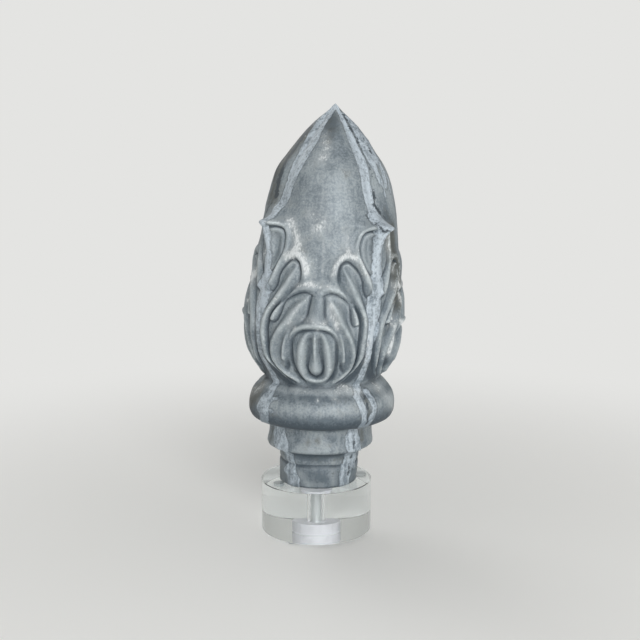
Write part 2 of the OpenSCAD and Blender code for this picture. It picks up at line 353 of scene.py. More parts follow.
# White bloom, thickest on the front face along the upper rims of the leaves.
BLOOM = (
    Mark(((-28, 179), (-24, 173), (-20, 168), (-19.8, 163), (-22, 158.5), (-27, 157.6)), 3.6, 0.95),
    Mark(((-19, 159.4), (-13, 156), (-10, 151.5), (-9.4, 147)), 2.8, 0.9),
    Mark(((-16, 139.2), (-11, 140), (-6.5, 140.6), (-3, 139.8)), 2.2),
    Mark(((-7, 184), (-2, 181), (1, 177.6), (-5, 176)), 4.6, 0.85),
    Mark(((-1, 190), (-1, 197)), 3.0, 0.4),
    Mark(((-8, 232), (-2, 226), (-5, 219)), 4.0, 0.7),
    Mark(((19, 171), (21.5, 164), (21, 158.6)), 2.4, 0.55),
    Mark(((10.4, 146), (11.6, 152), (15, 156.6), (21, 159.4), (27, 158)), 2.0, 0.9),
    Mark(((31, 156), (34.5, 150), (38, 143)), 1.8, 0.6),
    Mark(((3, 139.6), (8, 140), (14, 139.2)), 1.4, 0.5),
    Mark(((2.2, 168), (2.4, 158), (2.2, 149)), 0.8, 0.55),
    Mark(((-12, 127), (-15, 121), (-18, 115)), 1.6, 0.5),
    Mark(((-20, 145), (-24, 139), (-28, 133)), 1.6, 0.5),
    Mark(((42, 118), (43.5, 104), (43, 90)), 1.6, 0.6),
    Mark(((-47, 132), (-48, 112), (-47, 92)), 1.6, 0.6),
    Mark(((9.5, 128), (13, 121), (16, 114)), 2.4, 0.8),
    Mark(((-13.6, 112.4), (-13.4, 112.6)), 1.1),
    Mark(((1.7, 112.6), (1.9, 112.4)), 1.0),
    Mark(((8, 114.5), (8.3, 114.3)), 1.1),
    Mark(((1.5, 139), (1.7, 139.3)), 1.0),
    Mark(((-6, 118), (0, 117), (7, 117.4)), 2.4, 0.65),
    Mark(((-22, 71), (-10, 70), (4, 70.4), (20, 70)), 1.6, 0.55),
    Mark(((24, 72), (32, 70.6), (40, 69)), 3.0, 0.65),
    Mark(((66, 67), (74, 60), (80, 53)), 6.0, 0.55),
    Mark(((-58, 68), (-68, 64), (-80, 62)), 4.0, 0.6),
    Mark(((2.5, 65.6), (2.8, 65.2)), 1.0),
    Mark(((15, 67), (18, 66.4)), 0.8, 0.5),
    Mark(((-44, 86), (-41, 96)), 1.8, 0.5),
    Mark(((-60, 150), (-66, 138), (-69, 124)), 4.0, 1.3),
    Mark(((-52, 166), (-54, 150)), 1.6, 0.8),
    Mark(((-72, 110), (-67, 98), (-62, 90)), 3.4, 1.2),
    Mark(((60, 176), (62, 160), (66, 150)), 3.0, 0.6),
    Mark(((74, 142), (79, 128), (80, 114)), 3.0, 1.1),
    Mark(((70, 104), (66, 96)), 3.0, 0.8),
    Mark(((64, 140), (66, 128), (67, 112)), 3.0, 0.7),
    Mark(((120, 182), (108, 172), (112, 158)), 3.2, 0.8),
    Mark(((92, 140), (84, 139), (78, 138)), 2.0, 0.8),
    Mark(((170, 150), (186, 156), (196, 148)), 3.0, 0.8),
    Mark(((168, 180), (176, 188), (188, 183)), 4.0, 0.6),
    Mark(((208, 176), (214, 160)), 3.0, 0.6),
    Mark(((262, 168), (266, 150), (250, 140)), 3.0, 0.7),
)

# A brownish film of soot that the rain has not washed off; on the flanks and low on the collar's left it also
# stands for painted shade.
GRIME_AND_SHADE = (
    # painted shade on the upper left flank, together with soot
    Mark(((-70, 236), (-70, 222), (-68, 208), (-64, 194)), 8.0, 0.9),
    Mark(((-88, 222), (-98, 204)), 12.0, 0.6),
    Mark(((-6, 244), (0, 236), (-1, 230)), 4.5, 0.7),
    # painted shade low on the collar's left
    Mark(((-62, 64), (-78, 55), (-100, 58)), 9.0, 1.6),
    Mark(((62, 66), (66, 56), (60, 48)), 4.0, 0.3),
    Mark(((44, 66), (45.5, 58), (45, 51)), 1.6, 1.0),
    Mark(((-14, 32.5), (0, 33.5), (16, 32)), 4.0, 0.4),
    Mark(((58, 38), (62, 30)), 4.0, 0.8),
    Mark(((-60, 38), (-64, 30)), 4.0, 0.8),
    Mark(((92, 230), (100, 206)), 10.0, 0.5),
    # painted shade on the right flank
    Mark(((66, 172), (70, 152), (72, 128)), 9.0, 1.4),
    Mark(((150, 236), (160, 205)), 10.0, 0.6),
    Mark(((214, 222), (204, 196)), 9.0, 0.6),
    Mark(((180, 62), (160, 54)), 8.0, 0.6),
    Mark(((-30, 20), (10, 19), (40, 20)), 2.6, 0.35),
)

# Darkening on both sides of each corner at the foot of the bud, and in the deepest hollows.
DEEP_DARKENING = (
    Mark(((43, 104), (42, 92), (38.6, 84), (33, 78), (24, 75)), 3, 1.8),
    Mark(((21, 90), (22.4, 85.6)), 2.6, 0.5),
    Mark(((0, 82), (5, 83.5)), 1.4, 0.5),
)

# Darkening low on both sides of the bud, and painted shade on the left under the collar.
SIDE_DIRT_AND_SHADE = (
    Mark(((62, 89), (74, 85)), 4.0, 1.4),
    Mark(((-62, 84), (-68, 92)), 3.0, 1.0),
    # painted shade under the collar on the left
    Mark(((-104, 52), (-84, 49.5), (-68, 48), (-56, 46.6)), 4.0, 1.7),
)

# Paler and darker fields of the metal, some of them painted light: painted shade on the flanks and on the
# collar's left, painted highlights on the palmette's ring and drop and along the solder strips near the
# point.
TONE_AND_LIGHT = (
    Mark(((-54, 230), (-52, 217), (-51, 205), (-50, 194)), 3.5, 0.6),
    # painted shade on the upper left flank
    Mark(((-74, 226), (-70, 208), (-64, 192)), 8.0, -0.8),
    Mark(((58, 238), (61, 226), (60, 214), (56, 203), (53, 194)), 5.0, 0.7),
    Mark(((-2, 247), (2, 240), (2, 234)), 4.0, -1.0),
    Mark(((-20, 234), (-24, 222)), 4.0, -0.4),
    Mark(((-10, 222), (-12, 214)), 6.0, 0.6),
    Mark(((14, 206), (16, 190)), 10.0, 0.4),
    Mark(((-26, 200), (-24, 190)), 5.0, -0.5),
    Mark(((28, 186), (24, 180)), 5.0, -0.5),
    Mark(((-6, 160), (4, 152)), 8.0, -0.15),
    Mark(((34, 128), (38, 112), (40, 96)), 2.0, -0.8),
    Mark(((-31, 118), (-36, 100)), 3.0, -0.3),
    Mark(((-18, 128), (-24, 112)), 3.0, 0.5),
    Mark(((0, 136), (0, 124)), 2.0, -0.3),
    Mark(((-18, 58), (20, 58)), 4.0, 0.25),
    Mark(((-10, 32), (14, 33)), 5.0, 0.4),
    Mark(((-30, 71), (-26, 67)), 2.4, 0.8),
    Mark(((-17, 71), (-15, 67)), 1.8, 0.9),
    Mark(((12, 69.5), (18, 66.6)), 1.6, 0.8),
    Mark(((30, 71), (36, 65)), 2.6, 0.8),
    Mark(((-8, 67), (4, 66.4)), 1.5, -0.6),
    # painted shade on the collar's left
    Mark(((-100, 60), (-80, 58), (-64, 54)), 9.0, -2.2),
    Mark(((70, 66), (76, 58), (80, 50)), 6.0, 1.0),
    Mark(((-6, 62), (10, 62.4), (24, 61)), 2.4, -0.5),
    Mark(((-28, 57), (-22, 53)), 3.0, 0.5),
    # painted highlights on the palmette's ring and its drop
    Mark(((8.5, 101), (10.6, 93), (10.4, 85)), 2.4, 1.8),
    Mark(((-8.5, 101), (-10.4, 93), (-10.2, 85)), 2.4, 1.8),
    Mark(((0, 92), (0, 86)), 2.4, 1.4),
    Mark(((-14, 30), (-4, 29)), 3.0, 0.7),
    Mark(((14, 38), (20, 36)), 2.6, -0.9),
    Mark(((-6, 40), (6, 40)), 1.6, 0.6),
    Mark(((-20, 39), (-18, 36)), 2.4, -0.8),
    Mark(((6, 33), (14, 30)), 2.4, 0.5),
    # painted shade on the right flank
    Mark(((62, 186), (68, 150), (64, 118)), 9.0, -1.4),
    # painted highlights along the solder strips near the point
    Mark(((-39, 252), (-39, 243), (-35.5, 230), (-37, 217), (-39, 204)), 4.5, 1.4),
    Mark(((39, 250), (43, 232), (44, 214), (45, 196), (48, 184), (46, 180)), 3.5, 1.6),
    Mark(((45, 174), (45, 150), (45, 96)), 3.2, 1.1),
    Mark(((-46, 172), (-45, 150), (-46, 112)), 3.6, 1.7),
    Mark(((37, 66), (40, 56), (39, 48)), 3.0, 0.7),
    Mark(((-44, 8), (-38, 3)), 4.0, 0.5),
    Mark(((-20, 9), (-15, 5), (-8, 2)), 2.4, 1.3),
    Mark(((6, 9), (14, 6)), 2.8, -1.0),
    Mark(((24, 10), (30, 3)), 2.6, 1.1),
    Mark(((-6, 20.4), (6, 19.6)), 2.4, -0.7),
    Mark(((22, 21), (28, 18)), 2.2, 0.6),
    Mark(((-22, 34), (-24, 29)), 2.4, -0.4),
    Mark(((24, 36), (28, 30)), 2.2, -0.5),
    Mark(((30, 104), (34, 92), (30, 82)), 3.5, -0.7),
    Mark(((-32, 104), (-36, 92), (-30, 82)), 3.5, -0.7),
    Mark(((56, 110), (58, 94), (54, 82)), 6.0, -0.9),
    Mark(((-62, 100), (-60, 88), (-56, 80)), 5.0, -0.8),
    Mark(((84, 214), (76, 204), (70, 194)), 7.0, 1.3),
    Mark(((64, 192), (64, 184)), 3.0, -1.0),
    Mark(((36, 116), (30, 128)), 2.0, -0.4),
    Mark(((-30, 108), (-33, 92)), 2.0, -0.5),
    Mark(((-6, 2), (12, 3)), 2.2, 0.6),
    Mark(((86, 232), (92, 214)), 9.0, -0.5),
    Mark(((150, 228), (170, 214)), 9.0, -0.5),
    Mark(((190, 196), (176, 206)), 9.0, 0.5),
    Mark(((236, 222), (250, 204)), 9.0, -0.4),
)

# Ragged dark lines where the solder's edge has lifted.
CRACKS = (
    Mark(((-71, 238), (-66, 228), (-64, 219), (-62, 211.5), (-59, 202.5), (-55, 194)), 2.3),
    Mark(((-80, 226), (-76, 214), (-72, 204)), 1.8),
    Mark(((61, 248), (56, 241), (55, 232.5), (54, 226.5), (52.4, 218), (54, 211), (53, 206)), 0.7),
    Mark(((76, 236), (69, 229), (68, 224)), 0.5),
    Mark(((51.5, 201), (50.5, 195), (51, 190), (55, 185.6), (60, 182)), 1.0),
    Mark(((36, 184), (39, 178), (43, 175)), 0.7),
    Mark(((-60, 189), (-66, 184), (-68, 180)), 1.2),
    Mark(((44.6, 67), (44, 60), (45.6, 54), (43, 49)), 0.7),
    Mark(((57, 20), (53, 16), (55, 8)), 0.7),
    Mark(((44, 38), (46, 33), (43, 28)), 0.6),
    Mark(((141, 238), (138, 226), (141, 214), (139, 202)), 1.0),
    Mark(((212, 240), (216, 228), (214, 212), (218, 200)), 1.0),
)

# Solder that lies outside the strips along the corners.
SOLDER_RUNS = (
    Mark(((48.5, 68.3), (50, 63.2), (51, 58.2), (48.5, 53.2), (46, 49.5), (44, 45.5)), 2.5),
    Mark(((82, 246), (66, 234), (63, 226), (61.5, 218)), 3.3),
    Mark(((100, 244), (84, 234), (77, 226), (73, 220)), 4.2),
    Mark(((76, 219), (73, 211), (71, 203)), 2.0),
    Mark(((63, 218), (61.5, 212), (63, 206)), 2.2),
    Mark(((64, 206), (67, 196)), 0.9),
    Mark(((80, 212), (78, 199)), 1.1),
    Mark(((-38, 63), (-34.6, 64), (-31.5, 64.4)), 1.1),
    Mark(((-36, 57), (-33, 55.6)), 0.9),
    Mark(((60, 22), (66, 18), (68, 12)), 2.0),
    Mark(((150, 66), (147, 56), (150, 48)), 2.2),
    Mark(((205, 62), (212, 58)), 1.6),
)


def values_at(value: float | tuple[float, ...], count: int) -> np.ndarray:
    """Spreads one value, or one at each point, over a line.

    Args:
        value: One number, or as many as the line has points.
        count: How many points the line has.

    Returns:
        One number at each point.
    """
    if isinstance(value, tuple):
        return np.array(value, float)
    return np.full(count, float(value))


def smooth_line(points: np.ndarray, steps: int) -> np.ndarray:
    """Draws a Catmull-Rom curve through points.

    Args:
        points: One row for each point, with any number of items.
        steps: Samples between two points.

    Returns:
        The samples, one row each.
    """
    ends = np.vstack([2 * points[0] - points[1], points, 2 * points[-1] - points[-2]])
    t = np.linspace(0, 1, steps, endpoint=False)[:, None]
    parts = []
    for p0, p1, p2, p3 in zip(ends[:-3], ends[1:-2], ends[2:-1], ends[3:]):
        parts.append(0.5 * (2 * p1 + (p2 - p0) * t + (2 * p0 - 5 * p1 + 4 * p2 - p3) * t**2
                            + (3 * p1 - p0 - 3 * p2 + p3) * t**3))
    return np.vstack([*parts, points[-1:]])


def blur(grid: np.ndarray, reach: int) -> np.ndarray:
    """Averages a grid over a square, with the grid mirrored at its edges.

    Args:
        grid: Heights, row by row.
        reach: How many cells the square reaches to each side.

    Returns:
        The averaged grid.
    """
    result = grid
    size = 2 * reach + 1
    for axis in (0, 1):
        pad = [(reach, reach) if a == axis else (0, 0) for a in (0, 1)]
        total = np.cumsum(np.pad(result, pad, mode="reflect"), axis=axis)
        first = np.take(total, [size - 1], axis=axis)
        rest = np.take(total, range(size, total.shape[axis]), axis=axis)
        rest = rest - np.take(total, range(total.shape[axis] - size), axis=axis)
        result = np.concatenate([first, rest], axis=axis) / size
    return result


@dataclass
class Carving:
    """The relief of one face of the bud, pressed into sheet zinc.

    Attributes:
        strokes: The lines of the relief.
        girth: Radius in mm at which a degree of turn is measured along the surface.
        steps: Samples between two points of a line.
        skirt: Share of a ridge that spreads to its foot.
        skirt_reach: How many times its half width that foot reaches.
    """

    strokes: tuple[Stroke, ...] = STROKES
    girth: float = 51.0
    steps: int = 14
    skirt: float = 0.38
    skirt_reach: float = 2.1

    def to_surface(self, points: np.ndarray) -> np.ndarray:
        """Turns degrees round the bud into mm along its surface.

        Args:
            points: Rows that start with degrees and height.

        Returns:
            The same rows with the degrees in mm.
        """
        result = points.copy()
        result[:, 0] *= math.radians(1) * self.girth
        return result

    def one_stroke(self, stroke: Stroke, spots: np.ndarray) -> np.ndarray:
        """Works out what one line adds at each spot.

        Args:
            stroke: The line.
            spots: Places on the half face, in mm along the surface.

        Returns:
            The height or depth in mm at each spot.
        """
        count = len(stroke.points)
        rows = np.column_stack([np.array(stroke.points, float), values_at(stroke.height, count),
                                values_at(stroke.width, count)])
        line = smooth_line(self.to_surface(rows), self.steps)
        along = np.gradient(line[:, :2], axis=0)
        reach = line[:, 3].max() * (1 + abs(stroke.bias)) * self.skirt_reach
        near = np.all((spots > line[:, :2].min(0) - reach) & (spots < line[:, :2].max(0) + reach), axis=1)
        result = np.zeros(len(spots))
        if not near.any():
            return result
        offset = spots[near][:, None, :] - line[None, :, :2]
        nearest = np.argmin((offset**2).sum(2), axis=1)
        offset = offset[np.arange(len(nearest)), nearest]
        tangent = along[nearest]
        side = np.sign(tangent[:, 0] * offset[:, 1] - tangent[:, 1] * offset[:, 0])
        width = line[nearest, 3] * (1 + stroke.bias * side)
        t = np.hypot(offset[:, 0], offset[:, 1]) / width
        shape = (1 - np.clip(t, 0, 1) ** 2) ** 2
        if stroke.cut is Cut.RIDGE:
            spread = (1 - np.clip(t / self.skirt_reach, 0, 1) ** 2) ** 2
            shape = (1 - self.skirt) * shape + self.skirt * spread
        result[near] = line[nearest, 2] * shape
        return result

    def height(self, degrees: np.ndarray, heights: np.ndarray) -> np.ndarray:
        """Works out the relief on a grid of the half face.

        Args:
            degrees: Degrees from the middle of the face, for each column.
            heights: Millimetres above the stand, for each row.

        Returns:
            The relief in mm, row by row.
        """
        spots = np.array([(a, z) for z in heights for a in degrees], float)
        spots = self.to_surface(spots)
        raised = np.zeros(len(spots))
        sunk = np.zeros(len(spots))
        for stroke in self.strokes:
            value = self.one_stroke(stroke, spots)
            if stroke.cut is Cut.GROOVE:
                sunk = np.maximum(sunk, value)
            else:
                raised = np.maximum(raised, value)
        return (raised - sunk).reshape(len(heights), len(degrees))


# ---------------------------------------------------------------- the finial's mesh

@dataclass(frozen=True)
class Outline:
    """A radius, or another value, that changes with height.

    Attributes:
        points: Height above the stand in mm, and the radius in mm or the value, from low to high.
    """

    points: tuple[tuple[float, float], ...]

    def at(self, heights: float | np.ndarray) -> float | np.ndarray:
        """Returns the value at one height or at each of several, in mm above the stand."""
        line = smooth_line(np.array(self.points, float), steps=12)
        return np.interp(heights, line[:, 0], line[:, 1])


# The plain face of the bud, up its middle.
FACE_OUTLINE = Outline((
    (66, 37.4), (72.2, 39.4), (74, 40.2), (80, 43.2), (85, 46.2), (90, 48.8), (95, 50.5), (100, 51.7),
    (106, 52.6), (114, 53), (125, 52.6), (138, 51.2), (148, 50), (158, 48.3), (166, 46.8), (175, 45.3),
    (185, 43.7), (191.5, 42.5), (198, 41), (204.7, 39.2), (211.3, 36.8), (217.9, 32.9), (224.4, 28.3),
    (230.9, 23.7), (237.4, 18.3), (243.9, 11.9), (250.4, 4.6), (254.6, 0.3),
))

# How far the soldered corners lie inside the faces.
CORNER_INSET = Outline((
    (60, 0), (150, 0), (170, 0.6), (180, 1.6), (188, 2.6), (200, 3.7), (211, 4.7), (224, 5.2), (234, 5.3),
    (242, 4.6), (250, 2), (254.8, 0),
))

# How far the midrib stands out along a corner and curls into the leaf tip, and its half width.
TIP_RISE = Outline((
    (70, 0), (78, 0.8), (90, 1.2), (110, 1.4), (138, 1.4), (148, 1.6), (158, 3), (164, 5.2), (169, 8),
    (174, 12), (176.4, 14.6), (178, 14.4), (180, 9.6), (182.5, 5.4), (186, 2.6), (191, 0.8), (196, 0),
    (260, 0),
))
TIP_WIDTH = Outline((
    (60, 3.4), (150, 3.2), (168, 3), (174, 3.8), (177, 6), (181, 6.4), (190, 5), (260, 5),
))

# How far the ground between the leaves' ridges is pressed in, below the smooth part of the face.
GROUND = Outline((
    (60, -0.2), (74, -0.9), (90, -1.3), (130, -1.2), (150, -0.8), (170, -0.4), (186, 0), (260, 0),
))

# Neck, band and collar, as height and radius in mm.
FOOT_OUTLINE = (
    (0, 26.6), (6, 26.8), (13.2, 27), (14.4, 26.9), (15, 26), (15.7, 26.6), (17, 27.2), (19.6, 27.3),
    (21.6, 28), (23.6, 29.9), (25.3, 33.2), (26.1, 35.4), (27, 36.3), (28.6, 36.4), (31, 35.9), (34, 35.4),
    (38, 35), (41.6, 35), (42.8, 35.6), (43.4, 38), (44.1, 41.5), (45, 44.6), (46.2, 47), (48, 48.6),
    (50.5, 49.6), (54, 49.9), (58, 49.6), (61.7, 48.6), (64.6, 47), (66.8, 45.2), (67.6, 44.2),
    (68.4, 43.9), (69.8, 42.5), (71.2, 40.8), (72.2, 39.5),
)

# How pale or dark the metal is painted at each height, with painted shade under the band and the collar roll
# and a painted highlight along the roll's upper middle; and how deep old dirt and painted shade lie in the
# foot's creases, most under the collar roll.
TONE_AND_LIGHT_BY_HEIGHT = Outline((
    # painted shade under the band (19 to 23 mm) and under the collar roll (44 to 54 mm), painted highlight
    # along the roll (57 to 62 mm)
    (0, -0.3), (8, -0.4), (13.6, -0.4), (15, -0.7), (17, 0), (19, -0.4), (23, -0.6), (26, 0), (28, 0.4),
    (36, 0.2), (40, 0.2), (42, -0.2), (44, -2.2), (48, -2), (51, -1.6), (54, -0.8), (57, 0.2), (60, 0.9),
    (63, 0.1), (65.4, -0.7), (67.4, -0.3), (69.2, 0.4), (72, 0.3), (76, -0.2), (84, -0.3), (96, -0.15),
    (108, 0), (130, 0.1), (160, 0.15), (190, 0.25), (212, 0.15), (230, -0.1), (244, -0.4), (250, -0.1),
    (255, 0.2),
))
CREASE_DIRT_AND_SHADE = Outline((
    (0, 0.9), (1.4, 0.4), (12, 0.35), (13.4, -0.1), (14.2, 0.7), (15.2, 1.3), (16.2, 0.3), (17.2, -0.4),
    (19, 0.35), (22.4, 0.8), (24.4, 1.2), (26, 0.3), (27.6, 0), (38, 0.2), (40.6, -0.2), (42, 0.1),
    # painted shade under the collar roll, heaviest at its lower edge
    (43.4, 3), (45.2, 2.5), (47, 1.8), (50, 1.1), (53, 0.5), (56, 0.1), (60, 0), (65.6, 0.2), (67.4, 0.5),
    (68.8, 0.1), (71, 0.2), (72.2, 0.8), (74, 0.2), (77, 0), (222, 0), (236, 0.4), (250, 0.3), (260, 0),
))


class Ring(Enum):
    """How many columns a zone of the finial's mesh has."""

    FINE = 512
    PLAIN = 256
    POINT = 128


@dataclass(frozen=True)
class Seam:
    """The solder along one corner of the finial.

    Attributes:
        stations: Height above the stand in mm, degrees off the corner, and half width in mm.
    """

    stations: tuple[tuple[float, float, float], ...]

    def at(self, height: float) -> tuple[float, float]:
        """Returns the degrees off the corner and the half width in mm at a height in mm."""
        rows = np.array(self.stations).T
        return float(np.interp(height, rows[0], rows[1])), float(np.interp(height, rows[0], rows[2]))


# The solder of each corner: the front's left one, then on round by the right to the back left.
SEAMS = (
    Seam(((0, 13, 5.2), (5, 13, 5.4), (10, 5, 6.4), (16, 9, 3.6), (20, 3, 4.8), (24, 6, 5.4), (27, 8, 6.4),
          (30, 5, 7.4), (36, 1, 7.2), (41, 0, 5.4), (45, 1, 4.6), (51, 3, 4.8), (56, 1, 6.4),
          (61, 1.5, 6.2), (68, 4, 3.6), (72, 2, 3.6), (76, 1, 4), (87, 0, 3), (102, 0, 2.6), (114, 0, 3.6),
          (125, 1, 5.8), (137, 1, 5.4), (150, 0, 3.2), (168, 0, 2.3), (172, 0, 2.4), (180, -2, 4),
          (185, -2, 4.6), (191, 4, 4.4), (204, 6, 5), (217, 8, 6.4), (230, 9.5, 7.4), (243, 6, 5.8),
          (250, 6, 4), (254, 4, 3))),
    Seam(((0, 3, 4.6), (5, 3, 4.8), (11, 5, 5.6), (16, 8, 5.8), (20, 10, 5.6), (25, 3, 5), (28.5, 1, 6.2),
          (33, 0, 6.4), (38, -1, 5.4), (41, 0, 4.4), (46, -5, 2.6), (50, -4.3, 2.1), (56, -5, 2.6),
          (61, -6.3, 2.8), (67, -7.8, 2.6), (71, -4, 3), (76, 0, 3), (82, 0, 2.8), (92, 0, 2.3),
          (102, 0, 2.5), (110, 0, 4.4), (118, -1, 5.2), (129, -1.6, 6.2), (138, -1, 4.8), (146, 0, 4.5),
          (156, 0, 4), (168, 0, 3.8), (172, 0, 3.8), (176, 0, 5.4), (181, 0, 6.4), (184, 0, 5.4),
          (188, 1, 3.6), (194, -0.5, 4), (206, -1.7, 3.9), (219, 0, 4.2), (231, -2.3, 3.5), (244, -3, 2.3),
          (252, -3, 1.8), (254, 0, 3))),
    Seam(((0, 4, 4.2), (12, 6, 5.2), (18, 2, 4), (24, 3, 5), (27, -2, 6.4), (40, -2, 6.2), (44, 0, 4.8),
          (58, -1, 6.4), (66, 3, 4.6), (80, 0, 3.2), (140, 0, 3.2), (180, 0, 4), (186, 2, 3.6),
          (210, 4, 4.8), (230, 6, 4.6), (244, 5, 3.4), (254, 0, 3))),
    Seam(((0, -5, 4), (10, -2, 5.4), (17, -6, 3.8), (24, -4, 4.6), (27, 2, 6), (40, 1, 6.6), (44, 0, 5),
          (50, -3, 4), (58, 1, 6.8), (66, -2, 4.4), (80, 0, 3.4), (140, 0, 3), (180, 0, 4), (186, -2, 3.4),
          (205, -4, 5), (230, -6, 4.8), (244, -4, 3.4), (254, 0, 3))),
)


@dataclass(frozen=True)
class Weathering:
    """Everything that the weather and the soldering iron left on the finial's skin, and the painted shade and
    highlights laid on it.

    Attributes:
        soot_top: Height in mm below which soot lies all over.
        soot: How much, from 0 to 1.
        clear: Distance in mm that stands for "none near".
    """

    soot_top: float = 66.0
    soot: float = 0.06
    clear: float = 9.0

    def outside(self, marks: tuple[Mark, ...], hoop: Hoop) -> np.ndarray:
        """Works out how far each place on a ring is from the edge of the nearest mark.

        Args:
            marks: The marks.
            hoop: The ring.

        Returns:
            Millimetres outside the mark, or less than 0 on it, for each column.
        """
        result = np.full(len(hoop.degrees), self.clear)
        for mark in marks:
            result = np.minimum(result, mark.away(hoop) - mark.width)
        return result

    def solder(self, hoop: Hoop) -> np.ndarray:
        """Works out how far each place on a ring is from the edge of the solder.

        Args:
            hoop: The ring.

        Returns:
            Millimetres outside the solder, or less than 0 on it, for each column.
        """
        result = self.outside(SOLDER_RUNS, hoop)
        for number, seam in enumerate(SEAMS):
            off_corner, half = seam.at(hoop.height)
            middle = np.array([(2 * number - 1) * HALF_FACE + off_corner])
            result = np.minimum(result, np.abs(hoop.along(middle)[:, 0]) - half)
        return result

    def strongest(self, marks: tuple[Mark, ...], hoop: Hoop) -> np.ndarray:
        """Returns the strength of the strongest mark, or 0, at each column of a ring."""
        return np.max([mark.share(hoop) for mark in marks], axis=0, initial=0.0)

    def marks(self, hoop: Hoop, face_degrees: np.ndarray) -> dict[str, np.ndarray]:
        """Works out every mark of the finish round a ring, as if nothing were pressed into it.

        Args:
            hoop: The ring.
            face_degrees: Degrees from the middle of the column's own face.

        Returns:
            The values of each mark, by name.
        """
        on_each_face = Hoop(hoop.height, np.abs(face_degrees), hoop.radius)
        # darkening at the foot of the bud and in deep hollows, and painted shade under the collar's left
        dirt_and_shade = self.strongest(DEEP_DARKENING, on_each_face) + self.strongest(SIDE_DIRT_AND_SHADE, hoop)
        soot = self.soot * (hoop.height < self.soot_top)
        return {
            "hollow": dirt_and_shade + CREASE_DIRT_AND_SHADE.at(hoop.height),
            "solder": self.solder(hoop),
            "bloom": self.strongest(BLOOM, hoop),
            "grime_and_shade": np.maximum(self.strongest(GRIME_AND_SHADE, hoop), soot),
            "crack": self.outside(CRACKS, hoop),
            "tone_and_light": TONE_AND_LIGHT_BY_HEIGHT.at(hoop.height) + sum(mark.share(hoop) for mark in TONE_AND_LIGHT),
        }


def join_rings(rings: list[range], foot: int, point: int) -> list[tuple[int, ...]]:
    """Joins rings, two columns to one where their number changes, and closes both ends.

    Args:
        rings: The vertices of each ring, from the foot up.
        foot: The vertex in the middle of the lowest ring.
        point: The vertex above the highest one.

    Returns:
        The faces, turned outwards.
    """
    faces = []
    for low, up in zip(rings[:-1], rings[1:]):
        coarse, fine = (low, up) if len(low) <= len(up) else (up, low)
        for j, here in enumerate(coarse):
            after = coarse[(j + 1) % len(coarse)]
            if len(low) == len(up):
                faces.append((here, after, up[(j + 1) % len(up)], up[j]))
                continue
            a, b, c = (fine[(2 * j + i) % len(fine)] for i in range(3))
            fan = ((here, b, a), (here, after, b), (after, c, b))
            faces += fan if fine is up else [face[::-1] for face in fan]
    lowest, highest = rings[0], rings[-1]
    faces += [(foot, lowest[(j + 1) % len(lowest)], here) for j, here in enumerate(lowest)]
    faces += [(point, here, highest[(j + 1) % len(highest)]) for j, here in enumerate(highest)]
    return faces


